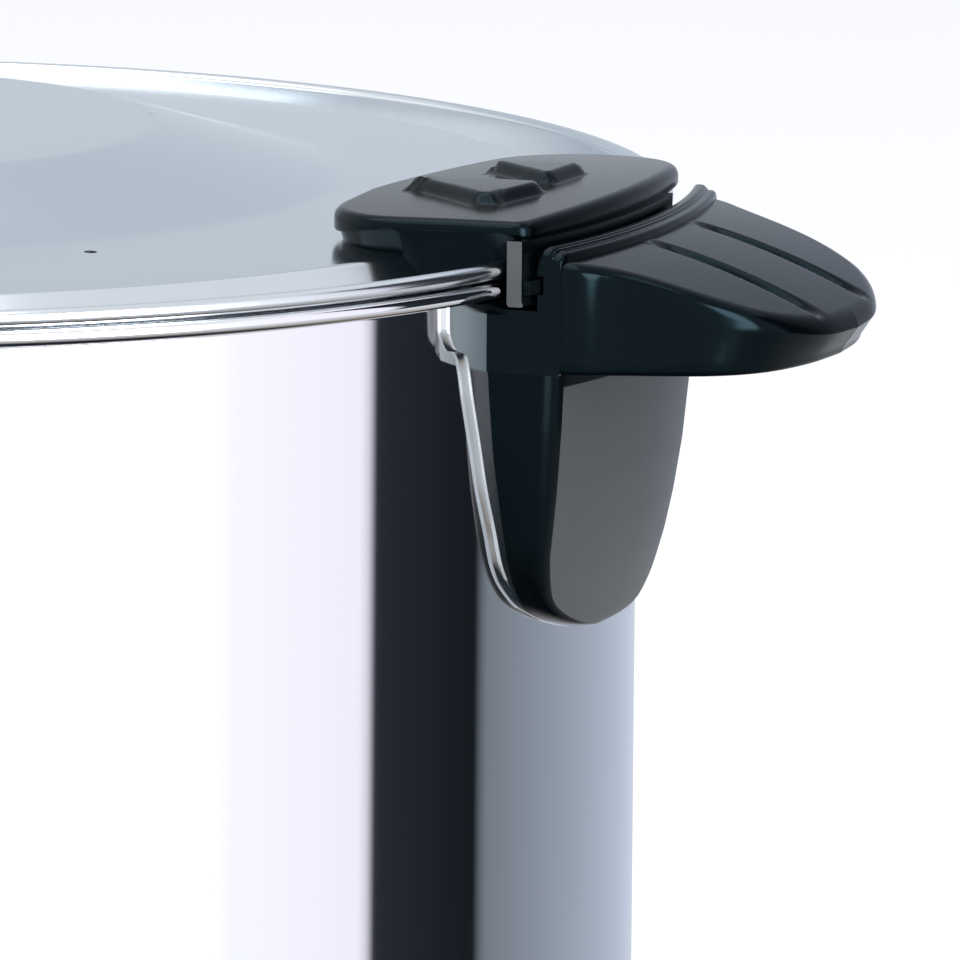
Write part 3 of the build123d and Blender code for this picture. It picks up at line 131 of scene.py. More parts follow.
class StageSettings(bpy.types.PropertyGroup):
    """The studio's floor, light and camera."""

    distance: length("Camera distance", "From the camera to the centre of the lid's rim", 2500)
    azimuth: angle("Azimuth", "Camera angle from the front", radians(22))
    elevation: angle("Elevation", "Camera angle above the rim", radians(8.421))
    heading: angle("Heading", "Turn of the lens axis from the front", radians(19.4577))
    tilt: angle("Tilt", "Angle of the lens axis below level", radians(9.4741))
    roll: angle("Roll", "Roll of the camera", 0.00808)
    lens: FloatProperty(name="Lens", description="Focal length for a 36 mm sensor", default=591.03)
    floor: colour("Floor", "Pale floor", "F4F4F5")
    key_card: colour("Key card", "White card in front", "FFFFFF")
    veil_start: colour("Veil, start", "Thin pale cloth beside the key card, where it is bright", "F8F8FC")
    veil_end: colour("Veil, end", "The same cloth where it is less lit", "F0ECF8")
    flag_start: colour("Flag, start", "Black flag at the right, at its front", "242830")
    flag_end: colour("Flag, end", "The same flag at its rear", "14181C")
    backdrop_start: colour("Backdrop, start", "Grey backdrop, next to the flag", "707880")
    backdrop_end: colour("Backdrop, end", "The same backdrop, nearer to its light", "B8C0D0")
    rear_card: colour("Rear card", "Pale grey card behind the urn", "C0C8D0")
    cards: FloatProperty(name="Cards", description="Strength of the cards in reflections", default=1.22)
    strip: FloatProperty(name="Strip light", description="Strength of the strip in reflections", default=13.0)


# ---- helpers -----------------------------------------------------------------


def settings(group):
    """The add-on's settings group of that name."""
    return getattr(bpy.context.scene, group)


def finish_mesh(bm, name, materials, smooth_angle=radians(35)):
    """Closes a bmesh into a new object at the origin, smooth but for its sharp edges."""
    mesh = bpy.data.meshes.new(name)
    for face in bm.faces:
        face.smooth = True
    for edge in bm.edges:
        if len(edge.link_faces) == 2 and edge.calc_face_angle(0) > smooth_angle:
            edge.smooth = False
    bm.to_mesh(mesh)
    bm.free()
    for material in materials:
        mesh.materials.append(material)
    piece = bpy.data.objects.new(name, mesh)
    bpy.context.scene.collection.objects.link(piece)
    return piece


def dress(piece, body, slot, *replaced):
    """Says what a piece moves with and which nodes it stands for; its slot is not used."""
    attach(piece, body)
    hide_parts(*replaced)


def merged_copy(node, name, materials, smooth_angle):
    """A CAD node's shape with its loose triangles merged, to carry smooth shading and finishes."""
    bm = bmesh.new()
    bm.from_mesh(NODES[node].data)
    bmesh.ops.remove_doubles(bm, verts=bm.verts, dist=2e-6)
    bmesh.ops.dissolve_degenerate(bm, edges=bm.edges, dist=1e-6)
    return finish_mesh(bm, name, materials, smooth_angle)


def in_order(bm):
    """Sorts a bmesh by place, because a spin leaves it in a different order on each run."""
    for parts, key in (
        (bm.verts, lambda v: tuple(v.co)),
        (bm.edges, lambda e: sorted(v.index for v in e.verts)),
        (bm.faces, lambda f: sorted(v.index for v in f.verts)),
    ):
        rank = {part: n for n, part in enumerate(sorted(parts, key=key))}
        parts.sort(key=rank.get)
        parts.index_update()


def turned(points, name, materials, steps=256):
    """A closed outline of (radius, height) points in metres, spun about the urn's axis."""
    bm = bmesh.new()
    verts = [bm.verts.new((r, AXIS_Y, z)) for r, z in points]
    edges = [bm.edges.new((a, b)) for a, b in zip(verts, verts[1:] + verts[:1])]
    bmesh.ops.spin(
        bm, geom=verts + edges, cent=AXIS, axis=(0, 0, 1), angle=2 * pi, steps=steps, use_merge=True
    )
    bmesh.ops.recalc_face_normals(bm, faces=bm.faces)
    in_order(bm)
    return finish_mesh(bm, name, materials)


def arc_points(centre, radius, start, end, count):
    """Points of an arc in an outline, angles in degrees."""
    step = (end - start) / (count - 1)
    angles = [radians(start + step * i) for i in range(count)]
    return [(centre[0] + radius * cos(a), centre[1] + radius * sin(a)) for a in angles]


def at(x, y, z):
    """A point in millimetres from the urn's axis, its height above the lid's rolled rim."""
    return Vector((x * MM, AXIS_Y + y * MM, RIM_Z + z * MM))


def curve(points, steps):
    """A smooth line through points, with the same number of steps between each two."""
    ends = [points[0], *points, points[-1]]
    line = []
    for a, b, c, d in zip(ends, ends[1:], ends[2:], ends[3:]):
        for i in range(steps):
            t = i / steps
            weights = (-t + 2 * t**2 - t**3, 2 - 5 * t**2 + 3 * t**3, t + 4 * t**2 - 3 * t**3, t**3 - t**2)
            line.append(tuple(sum(w * p[k] for w, p in zip(weights, (a, b, c, d))) / 2 for k in (0, 1)))
    return line + [points[-1]]


def table(rows, key):
    """The values beside a key in a table of rows that fall in their first value."""
    for low, high in zip(rows[1:], rows):
        if key >= low[0]:
            part = (key - low[0]) / (high[0] - low[0])
            return [a + (b - a) * part for a, b in zip(low[1:], high[1:])]
    return rows[-1][1:]


def drawn_in(outline, depth):
    """An open plan outline moved to its left by a depth."""
    moved = []
    for i, (x, y) in enumerate(outline):
        (x0, y0), (x1, y1) = outline[max(i - 1, 0)], outline[min(i + 1, len(outline) - 1)]
        size = hypot(x1 - x0, y1 - y0)
        moved.append((x - (y1 - y0) / size * depth, y + (x1 - x0) / size * depth))
    return moved


def skin(bm, rows, closed=False, paint=None):
    """Faces between neighbouring rows of points, which all have the same count."""
    made = [[bm.verts.new(point) for point in row] for row in rows]
    for i, (low, high) in enumerate(zip(made, made[1:])):
        count = len(low) if closed else len(low) - 1
        for j in range(count):
            k = (j + 1) % len(low)
            face = bm.faces.new((low[j], low[k], high[k], high[j]))
            if paint:
                face.material_index = paint(i, j)
    return made


def swept(bm, profile, ends, steps, lower=None, finish=0):
    """Sweeps a closed (radius, height) profile about the axis; the finish is that of its first end."""
    rows = []
    for i in range(steps + 1):
        part = sin(pi / 2 * (2 * i / steps - 1)) / 2 + 0.5
        row = []
        for r, z in profile:
            start, end = ends(r)
            angle = start + (end - start) * part
            x, y = r * cos(angle), r * sin(angle)
            row.append(at(x, y, z - (lower(y, z) if lower else 0)))
        rows.append(row)
    made = skin(bm, rows, closed=True)
    bm.faces.new(made[0]).material_index = finish
    bm.faces.new(made[-1])


def as_piece(bm, name, materials, left, smooth_angle):
    """Turns a right-hand shape round the urn for the left, merges it and makes its object."""
    if left:
        bmesh.ops.rotate(bm, verts=bm.verts, cent=AXIS, matrix=Matrix.Rotation(pi, 3, "Z"))
    bmesh.ops.remove_doubles(bm, verts=bm.verts, dist=2e-6)
    bmesh.ops.recalc_face_normals(bm, faces=bm.faces)
    return finish_mesh(bm, name, materials, smooth_angle)


# ---- materials ---------------------------------------------------------------


def add_node(tree, kind, inputs=None, **attributes):
    """Adds a shader node with its attributes, then its input values or links."""
    made = tree.nodes.new(kind)
    for key, value in attributes.items():
        setattr(made, key, value)
    for key, value in (inputs or {}).items():
        if isinstance(value, bpy.types.NodeSocket):
            tree.links.new(value, made.inputs[key])
        else:
            made.inputs[key].default_value = value
    return made


def new_material(name):
    """A material with an empty node tree."""
    material = bpy.data.materials.new(name)
    material.use_nodes = True
    material.node_tree.nodes.clear()
    return material, material.node_tree


def close_material(tree, shader, height=None, depth=0.0):
    """Ends a material in its output, with a bump of that depth in metres."""
    if height is not None:
        bump = add_node(tree, "ShaderNodeBump", {"Strength": 1.0, "Distance": depth, "Height": height})
        tree.links.new(bump.outputs["Normal"], shader.inputs["Normal"])
    output = add_node(tree, "ShaderNodeOutputMaterial")
    tree.links.new(shader.outputs[0], output.inputs["Surface"])


def centred(tree, scale=(1, 1, 1)):
    """Object coordinates measured from the urn's axis."""
    place = add_node(tree, "ShaderNodeTexCoord")
    return add_node(
        tree,
        "ShaderNodeMapping",
        {"Vector": place.outputs["Object"], "Location": (0, -AXIS_Y * scale[1], 0), "Scale": scale},
    ).outputs["Vector"]


def noise(tree, vector, scale, detail=3.0, roughness=0.5):
    """A noise value at a scale in turns per metre."""
    inputs = {"Vector": vector, "Scale": scale, "Detail": detail, "Roughness": roughness}
    return add_node(tree, "ShaderNodeTexNoise", inputs).outputs["Fac"]


def spread(tree, value, low, high):
    """A 0 to 1 value spread over a range."""
    made = add_node(tree, "ShaderNodeMapRange", {"Value": value, "To Min": low, "To Max": high})
    return made.outputs["Result"]


def ramp(tree, value, stops):
    """A colour ramp over a 0 to 1 value, from stops that are a position and a linear colour each."""
    made = add_node(tree, "ShaderNodeValToRGB", {"Fac": value})
    bands = made.color_ramp.elements
    for band, (position, tint) in zip(bands, (stops[0], stops[-1])):
        band.position, band.color = position, (*tint, 1)
    for position, tint in stops[1:-1]:
        bands.new(position).color = (*tint, 1)
    return made.outputs["Color"]


def polished_stainless():
    """304 stainless buffed to a mirror: a sharp reflection, with faint upright draw marks."""
    material, tree = new_material("polished_stainless")
    marks = noise(tree, centred(tree, (900, 900, 6)), 1.0, 2.0)
    shader = add_node(
        tree,
        "ShaderNodeBsdfPrincipled",
        {
            "Base Color": (*settings("urn_finish").polished, 1),
            "Metallic": 1.0,
            "Roughness": spread(tree, marks, 0.03, 0.06),
        },
    )
    close_material(tree, shader)
    return material


def satin_stainless():
    """Stainless sheet with a fine satin finish: soft, even reflections and a trace of rolling grain."""
    material, tree = new_material("satin_stainless")
    grain = noise(tree, centred(tree, (40, 2600, 2600)), 1.0, 3.0)
    shader = add_node(
        tree,
        "ShaderNodeBsdfPrincipled",
        {
            "Base Color": (*settings("urn_finish").satin, 1),
            "Metallic": 1.0,
            "Roughness": spread(tree, grain, 0.13, 0.19),
        },
    )
    close_material(tree, shader, grain, 0.4e-6)
    return material


def moulded_phenolic():
    """Compression-moulded black phenolic: glossy skin with the faint waviness of the mould, and a painted
    bluish tint in its colour and its reflections.
    """
    material, tree = new_material("moulded_phenolic")
    waves = noise(tree, centred(tree), 160.0, 2.0)
    fine = noise(tree, centred(tree), 1400.0, 2.0)
    shader = add_node(
        tree,
        "ShaderNodeBsdfPrincipled",
        {
            "Base Color": (*settings("urn_finish").moulding, 1),
            "Roughness": spread(tree, fine, 0.13, 0.2),
            "IOR": 1.5,
            "Specular IOR Level": 0.12,
            # The blue specular tint is a painted reflection colour, standing for bluish light in the
            # reflections.
            "Specular Tint": (0.45, 0.8, 1.0, 1),
        },
    )
    close_material(tree, shader, waves, 6e-6)
    return material


def eroded_phenolic_painted_sheen():
    """The same black phenolic where the mould is spark-eroded: a fine, even, satin grain, with a lighter grey
    base colour that is painted sheen; on the lid tabs' skirt ends that grey is painted light.
    """
    material, tree = new_material("eroded_phenolic_painted_sheen")
    grain = noise(tree, centred(tree), 2400.0, 2.0)
    shader = add_node(
        tree,
        "ShaderNodeBsdfPrincipled",
        {
            "Base Color": (*settings("urn_finish").eroded, 1),
            "Roughness": spread(tree, grain, 0.42, 0.52),
            "IOR": 1.6,
        },
    )
    close_material(tree, shader, grain, 30e-6)
    return material


def plain_finish(name, tint, low, high, scale, depth, metallic=0.0):
    """A finish with an even grain: its colour, roughness range, grain scale and bump depth."""
    material, tree = new_material(name)
    grain = noise(tree, centred(tree), scale, 3.0)
    shader = add_node(
        tree,
        "ShaderNodeBsdfPrincipled",
        {"Base Color": (*tint, 1), "Metallic": metallic, "Roughness": spread(tree, grain, low, high)},
    )
    close_material(tree, shader, grain, depth)
    return material


def finishes():
    """Every finish of the urn by its material slot, made once."""
    tint = settings("urn_finish")
    recipes = {
        "stainless_polished": polished_stainless,
        "stainless_satin": satin_stainless,
        "black_moulding": moulded_phenolic,
        # Turned stainless screws and nuts: bright, with fine tool marks.
        "stainless_fastener": lambda: plain_finish(
            "turned_stainless", tint.satin, 0.2, 0.32, 1800, 3e-6, 1.0
        ),
        # Injection-moulded polypropylene with a fine spark-eroded texture: dark and satin.
        "black_plastic": lambda: plain_finish("moulded_polypropylene", tint.plastic, 0.34, 0.46, 2200, 12e-6),
        # Nitrile rubber, moulded: dull, with a dusty grain.
        "black_rubber": lambda: plain_finish("moulded_nitrile", tint.rubber, 0.7, 0.85, 1500, 20e-6),
        # Platinum-cured silicone: milky, waxy and soft-edged.
        "silicone": lambda: plain_finish("cured_silicone", tint.silicone, 0.4, 0.5, 900, 6e-6),
        # Hot-dip galvanised sheet: grey, with soft crystals.
        "galvanised_steel": lambda: plain_finish("galvanised_sheet", tint.zinc, 0.36, 0.5, 120, 4e-6, 1.0),
        # Pressed and cast aluminium: pale, softly brushed by the tumbling.
        "aluminium_cast": lambda: plain_finish(
            "tumbled_aluminium", tint.aluminium, 0.28, 0.42, 700, 8e-6, 1.0
        ),
        # Nickel-plated brass pins: warm and bright.
        "brass_nickel": lambda: plain_finish("nickelled_brass", tint.brass, 0.18, 0.26, 900, 2e-6, 1.0),
        # Glazed steatite ceramic: cream, glassy and slightly pitted.
        "ceramic": lambda: plain_finish("glazed_steatite", tint.ceramic, 0.2, 0.34, 800, 10e-6),
        # Silicone wire insulation: bright colour, slightly dusty.
        "wire_red": lambda: plain_finish("red_insulation", tint.live, 0.45, 0.55, 1200, 4e-6),
        "wire_blue": lambda: plain_finish("blue_insulation", tint.neutral, 0.45, 0.55, 1200, 4e-6),
        # Amber polycarbonate lens: clear gloss over a warm colour.
        "lamp_amber": lambda: plain_finish("amber_lens", tint.lamp, 0.08, 0.14, 400, 2e-6),
    }
    return {slot: make() for slot, make in recipes.items()}


MADE = {}


def finish_of(slot):
    """The finish of a material slot, made on first use."""
    if not MADE:
        MADE.update(finishes())
        MADE["grain_and_painted_sheen"] = eroded_phenolic_painted_sheen()
    return MADE[slot]


SLOT_OF = {part["node"]: part["material_slot"] for part in frame["record"]["subparts"]}


# ---- operators ---------------------------------------------------------------


class URN_OT_tank(bpy.types.Operator):
    """Spin the polished tank wall with its rolled rim"""

    bl_idname = "urn.tank"
    bl_label = "Tank"

    def execute(self, context):
        sizes = settings("urn_sizes")
        bead_r, wall, inner = sizes.bead, sizes.wall, sizes.wall - sizes.sheet
        centre = (RIM_R - bead_r, TANK_HIGH.z - bead_r)
        lip = centre[1] + 0.1 * MM
        outline = [(inner, TANK_LOW.z), (wall, TANK_LOW.z), (wall, lip - 2.6 * MM), (wall, lip - 2.4 * MM)]
        outline += arc_points((wall + 1.6 * MM, lip - 2.4 * MM), 1.6 * MM, 180, 90, 6)[1:]
        outline += arc_points(centre, bead_r, 215, 505, 40)
        outline += [(inner + 0.8 * MM, lip), (inner, lip - 0.8 * MM)]
        piece = turned(outline, "tank_wall", [finish_of("stainless_polished")])
        dress(piece, "root", "stainless_polished", "tank_shell")
        return {"FINISHED"}


# Outlines of the right handle and its plate in millimetres, up to their middle: the grip's plan as distance
# from the axis and half width, the upright outlines as half width and height above the lid's rolled rim.
GRIP_UPPER = (
    (140.6, 37.3), (144.8, 36.7), (148.2, 34.8), (152.0, 33.3), (161.0, 31.0),
    (166.5, 28.6), (171.0, 25.2), (174.6, 19.4), (177.4, 10.6), (178.3, 0.0),
)
GRIP_LOWER = (
    (140.6, 37.35), (144.8, 36.9), (148.2, 35.4), (152.0, 33.8), (159.0, 31.6),
    (164.6, 29.0), (169.2, 25.0), (172.4, 19.4), (174.8, 10.6), (175.8, 0.0),
)
GRIP_EDGE_Z = -16.2
GRIP_EDGE, GRIP_FOOT, GRIP_WALL = 2.0, 1.0, 4.0
GROOVE_X, GROOVE_Y, GROOVE_HALF_LENGTH, GROOVE_HALF_WIDTH, GROOVE_DEPTH = 161.8, 10.6, 14.6, 2.1, 2.1
PLATE_IN_R, PLATE_OUT_R = 134.4, 135.7
WALL_IN_R, WALL_OUT_R, WALL_HALF_WIDTH, WALL_SOFT = 143.6, 147.2, 37.4, 2.4
CHANNEL_Z = -6.3
LUG_R, LUG_LOW, LUG_HIGH, LUG_START, LUG_END = 144.3, -3.4, -1.2, -16.3, -15.2
TONGUE_FOOT_Z, TONGUE_BULGE, TONGUE_SOFT, TONGUE_BACK_R = -60.6, 4.9, 2.2, 135.0
TONGUE_EDGE = (
    (37.6, -7.0), (37.3, -16.0), (35.9, -28.0), (34.4, -35.2), (32.1, -44.2),
    (29.5, -50.9), (25.5, -55.0), (16.8, -58.4), (6.7, -60.3), (0.0, TONGUE_FOOT_Z),
)
# Where the tongue's side meets its face: height, distance from the axis, half width.
TONGUE_CORNER = (
    (0, 140.4, 34.2), (-14, 140.4, 34.1), (-26, 139.6, 33.4), (-36, 138.7, 32.8), (-44, 137.6, 31.9),
    (-50, 136.5, 31.1), (-56, 135.0, 30.2), (-61, 133.6, 29.2),
)
BRACKET_EDGE = (
    (46.7, -4.9), (46.7, -7.4), (46.5, -9.4), (45.2, -11.9), (42.6, -13.5), (40.9, -20.4), (39.1, -27.5),
    (37.3, -34.8), (34.9, -42.0), (33.0, -47.6), (30.0, -51.6), (24.1, -55.7), (12.5, -59.6), (0.0, -61.2),
)


def both_sides(half):
    """A half outline from the front round to y = 0, and its mirror image."""
    return [(x, -y) for x, y in half] + [(x, y) for x, y in reversed(half[:-1])]


def grip_crest(x, y):
    """Height of the grip's drooping, slightly crowned top, with its two sunk grooves."""
    out = x - WALL_OUT_R
    height = 1.55 - 0.2115 * out - 0.0049 * out**2 - y**2 / 1280
    for middle in (-GROOVE_Y, GROOVE_Y):
        across = (y - middle) / GROOVE_HALF_WIDTH
        along = (x - GROOVE_X) / GROOVE_HALF_LENGTH
        if abs(across) < 1 and abs(along) < 1:
            height -= GROOVE_DEPTH * (1 - along**2) * (1 - across**2) ** 1.5
    return height


def grip_roof(x, y):
    """Height of the roof over the fingers."""
    return min(grip_crest(x, y) - 4.2, -4.0)


def outside(x, y, radius=145.6):
    """A plan point, pushed out to the middle of the rim wall where it lies further in."""
    push = max(1.0, radius / hypot(x, y))
    return x * push, y * push


def grip_rows():
    """The rows of the grip: top, soft edge, side, lower edge and the space for the fingers."""
    upper, lower = both_sides(curve(GRIP_UPPER, 20)), both_sides(curve(GRIP_LOWER, 20))
    rows = []

    def row(outline, height, scale=1.0):
        points = [outside(140 + (x - 140) * scale, y * scale) for x, y in outline]
        rows.append([at(x, y, height(x, y, i)) for i, (x, y) in enumerate(points)])

    edge, foot = GRIP_EDGE, GRIP_FOOT
    top = drawn_in(upper, edge)
    for i in range(1, 101):
        row(top, lambda x, y, i: grip_crest(x, y), i / 100)
    for i in range(1, 7):
        a = pi / 2 * i / 6
        row(drawn_in(upper, edge * (1 - sin(a))), lambda x, y, i: grip_crest(x, y) - edge * (1 - cos(a)))
    crest = [grip_crest(x, y) - edge for x, y in upper]
    for part in (0.2, 0.4, 0.6, 0.8, 1.0):
        between = [(a + (c - a) * part, b + (d - b) * part) for (a, b), (c, d) in zip(upper, lower)]
        low = GRIP_EDGE_Z + foot
        row(between, lambda x, y, i: crest[i] + (low - crest[i]) * part)
    for i in range(1, 5):
        a = pi / 2 * i / 4
        row(drawn_in(lower, foot * (1 - cos(a))), lambda x, y, i: GRIP_EDGE_Z + foot * (1 - sin(a)))
    inner = drawn_in(lower, GRIP_WALL)
    row(inner, lambda x, y, i: GRIP_EDGE_Z)
    roof = [grip_roof(x, y) for x, y in inner]
    row(drawn_in(inner, 0.8), lambda x, y, i: roof[i] - 1.2)
    for part in (0.97, 0.8, 0.6, 0.4, 0.2):
        row(inner, lambda x, y, i: grip_roof(x, y), part)
    return rows


def tongue_rows():
    """Level rows of the tongue, from the plate out to its corner and across its bulged face."""
    rows = []
    for width, z in curve(TONGUE_EDGE, 8):
        corner_x, corner_y = table(TONGUE_CORNER, z)
        width = max(width, 0.02)
        near = max(0.0, TONGUE_SOFT - (z - TONGUE_FOOT_Z))
        worn = TONGUE_SOFT - sqrt(max(TONGUE_SOFT**2 - near**2, 0.0)) if near else 0.0

        def face_x(y):
            return corner_x + TONGUE_BULGE * (1 - (y / corner_y) ** 2) - worn

        y = min(corner_y, width)
        corner = Vector((face_x(y), y))
        start = Vector((sqrt(TONGUE_BACK_R**2 - width**2), width))
        soft = min(2.8, 0.7 * y, 0.7 * (corner - start).length)
        into = corner + (start - corner).normalized() * soft
        out = Vector((face_x(y - soft), y - soft))
        half = [start.lerp(into, i / 6) for i in range(6)]
        half += [into.lerp(corner, t).lerp(corner.lerp(out, t), t) for t in (i / 8 for i in range(9))]
        half += [Vector((face_x(out.y * (1 - i / 14)), out.y * (1 - i / 14))) for i in range(1, 15)]
        rows.append([at(p.x, -p.y, z) for p in half] + [at(p.x, p.y, z) for p in reversed(half[:-1])])
    return rows


def rim_wall(bm):
    """The block under the rims and the two-step wall outside them, grooved inside for the lock lug."""
    profile = [(PLATE_OUT_R, GRIP_EDGE_Z), (WALL_OUT_R - 0.4, GRIP_EDGE_Z), (WALL_OUT_R, GRIP_EDGE_Z + 0.4)]
    profile += [(WALL_OUT_R, -6.0)]
    profile += arc_points((146.5, 2.1), 0.7, 0, 90, 5) + arc_points((146.1, 3.2), 0.4, 270, 180, 3)
    profile += arc_points((145.0, 3.1), 0.5, 20, 90, 4) + arc_points((144.3, 2.9), 0.7, 90, 180, 5)
    groove_r, groove_high, groove_low = LUG_R + 0.2, LUG_HIGH + 0.3, LUG_LOW - 0.3
    profile += [(WALL_IN_R, groove_high), (groove_r, groove_high)]
    profile += [(groove_r, groove_low), (WALL_IN_R, groove_low)]
    profile += [(WALL_IN_R, CHANNEL_Z), (PLATE_OUT_R, CHANNEL_Z)]

    def ends(r):
        return -asin(WALL_HALF_WIDTH / r), asin(WALL_HALF_WIDTH / r)

    def lower(y, z):
        past = max(0.0, abs(y) - (WALL_HALF_WIDTH - WALL_SOFT))
        return WALL_SOFT - sqrt(max(WALL_SOFT**2 - past**2, 0)) if z > 0 else 0.0

    swept(bm, profile, ends, 72, lower)


def gusset(bm, side):
    """The small web that runs out under the tank's rolled rim beside the block."""
    corners = ((36.4, -7.6), (43.4, -4.8), (36.4, -4.8))
    rings = [[at(sqrt(r**2 - y**2), side * y, z) for y, z in corners] for r in (PLATE_OUT_R, 138.6)]
    made = skin(bm, rings, closed=True)
    bm.faces.new(made[0])
    bm.faces.new(made[1])


class URN_OT_handles(bpy.types.Operator):
    """Mould the two handles: rim wall, grooved grip and bulged tongue"""

    bl_idname = "urn.handles"
    bl_label = "Handles"

    def execute(self, context):
        for left, node in enumerate(("handle_right", "handle_left")):
            bm = bmesh.new()
            skin(bm, grip_rows())
            rows = tongue_rows()
            middle = len(rows[0]) // 2
            # The tongue's outer face takes the textured finish, whose lighter grey is painted sheen.
            skin(bm, rows, paint=lambda i, j: int(i > 9 and abs(j + 0.5 - middle) < 14))
            rim_wall(bm)
            gusset(bm, 1)
            gusset(bm, -1)
            finish = [finish_of("black_moulding"), finish_of("grain_and_painted_sheen")]
            piece = as_piece(bm, node + "_moulding", finish, left, radians(32))
            dress(piece, BODY_OF[node], "black_moulding", node)
        return {"FINISHED"}


class URN_OT_brackets(bpy.types.Operator):
    """Press the curved steel plates behind the tongues"""

    bl_idname = "urn.brackets"
    bl_label = "Brackets"

    def execute(self, context):
        for left, node in enumerate(("bracket_right", "bracket_left")):
            bm = bmesh.new()
            rows = []
            for half, z in curve(BRACKET_EDGE, 10):
                half = max(half, 0.05)
                soft = min(0.35, half / 2)
                inset = max(half - soft - 0.3, 0.8 * (half - soft))
                section = [(PLATE_IN_R, half), (PLATE_OUT_R - 0.3, half)]
                section += [(PLATE_OUT_R, half - soft), (PLATE_OUT_R, inset)]
                side = [(r, asin(y / r)) for r, y in section]
                side += [(PLATE_OUT_R, side[-1][1] * (1 - i / 12)) for i in range(1, 13)]
                line = [(r, -a) for r, a in side]
                line += [(r, a) for r, a in reversed(side[:-1])]
                rows.append([at(r * cos(a), r * sin(a), z) for r, a in line])
            skin(bm, rows)
            piece = as_piece(bm, node + "_plate", [finish_of(SLOT_OF[node])], left, radians(40))
            dress(piece, BODY_OF[node], SLOT_OF[node], node)
        return {"FINISHED"}


# The right lid tab in plan, in millimetres: its outline, its corners' radii and the two raised arrowheads.
TAB_END_X, TAB_OUTER_R, TAB_HALF_WIDTH, TAB_EDGE = 101.5, 142.0, 38.3, 1.6
TAB_MIDDLE = (120.0, -3.0)
TAB_RADII = {"inner_front": 14.0, "inner_rear": 13.0, "outer_front": 3.5, "outer_rear": 15.0}
PAD_HEIGHT, PAD_SOFT = 1.8, 2.2
PADS = (
    ((107.0, -11.0), (107.9, -9.0), (129.6, -9.0), (130.8, -12.0), (127.5, -24.2), (124.2, -25.6)),
    ((114.2, 8.2), (115.0, 10.4), (128.4, 12.2), (130.0, 10.4), (129.2, -2.2), (126.8, -3.4), (122.5, 0.5)),
)


def tab_outline(inset, end_inset):
    """The plan of a tab drawn in at its sides and its end, as points from its outer rear corner round."""
    x0, half, outer = TAB_END_X + end_inset, TAB_HALF_WIDTH - inset, TAB_OUTER_R - inset
    radius = {name: max(r - inset, 1.5) for name, r in TAB_RADII.items()}
    corners = {}
    for name, side in (("outer_rear", 1), ("outer_front", -1)):
        r = radius[name]
        y = side * (half - r)
        x = sqrt((outer - r) ** 2 - y**2)
        corners[name] = (x, y, atan2(y, x))
    rear, front = corners["outer_rear"], corners["outer_front"]
    turn = 180 / pi
    points = arc_points(rear[:2], radius["outer_rear"], rear[2] * turn, 90, 12)
    r = radius["inner_rear"]
    end = arc_points((x0 + r, half - r), r, 90, 180, 16)
    r2 = radius["inner_front"]
    end += [(x0, half - r + (r + r2 - 2 * half) * i / 12) for i in range(1, 12)]
    points += [(x + 0.19 * max(0.0, y + 11), y) for x, y in end]
    points += arc_points((x0 + r2, r2 - half), r2, 180, 270, 12)
    start = x0 + r2
    points += [(start + (front[0] - start) * i / 12, -half) for i in range(1, 12)]
    points += arc_points(front[:2], radius["outer_front"], -90, front[2] * turn, 8)
    points += arc_points((0, 0), outer, front[2] * turn, rear[2] * turn, 30)[1:-1]
    return points


def pad_rise(x, y):
    """How far the two soft-edged arrowheads stand above the plate at a point."""
    rise = 0.0
    for outline in PADS:
        inside = 99.0
        for (ax, ay), (bx, by) in zip(outline, outline[1:] + outline[:1]):
            inside = min(inside, ((bx - ax) * (ay - y) - (by - ay) * (ax - x)) / hypot(bx - ax, by - ay))
        part = min(max((inside + 0.3) / PAD_SOFT, 0.0), 1.0)
        rise = max(rise, PAD_HEIGHT * sin(pi / 2 * part) ** 1.5)
    return rise


def plate_top(x, y):
    """Height of the tab's domed plate without its pads."""
    return 8.15 - ((x - 137) ** 2 + y**2) / 1600


def plate_under(x, y):
    """Height of the plate's lower edge, lowest at its inner end and low again over the rims."""
    part = min(max((x - TAB_END_X) / 14, 0.0), 1.0)
    side = 3.2 + 1.8 * part * part * (3 - 2 * part) + 0.03 * max(0.0, x - 115.5)
    out = min(max((hypot(x, y) - 138.0) / 3.6, 0.0), 1.0)
    return side + (4.4 - side) * out


def lid_top(r):
    """Height of the lid or of the rolled rims at a radius under a tab."""
    profile = ((999, 1.4), (136.1, 1.4), (136.0, -2.3), (124.0, -2.3), (121.0, 0.9), (88.0, 2.7), (0, 2.7))
    return table(profile, r)[0]


def tab_rows():
    """The rows of a tab: padded plate, soft edge, lower edge and the hull that narrows to the lid."""
    rows = []
    edge = TAB_EDGE
    plate = tab_outline(edge, edge)
    x0, y0 = TAB_MIDDLE
    for i in range(1, 91):
        scaled = [(x0 + (x - x0) * i / 90, y0 + (y - y0) * i / 90) for x, y in plate]
        rows.append([at(x, y, plate_top(x, y) + pad_rise(x, y)) for x, y in scaled])
    for i in range(1, 7):
        a = pi / 2 * i / 6
        inset = edge * (1 - sin(a))
        rows.append([at(x, y, plate_top(x, y) - edge * (1 - cos(a))) for x, y in tab_outline(inset, inset)])
    for inset, lift in ((0.0, 0.5), (0.15, 0.15), (0.5, 0.0), (0.9, 0.0)):
        rows.append([at(x, y, plate_under(x, y) + lift) for x, y in tab_outline(inset, inset)])
    for part in (0.15, 0.4, 0.7, 1.0):
        row = []
        for x, y in tab_outline(0.9 + 2.4 * part, 0.9 + 0.5 * part):
            foot = lid_top(hypot(x, y)) - 0.3
            row.append(at(x, y, plate_under(x, y) * (1 - part) + foot * part))
        rows.append(row)
    return rows


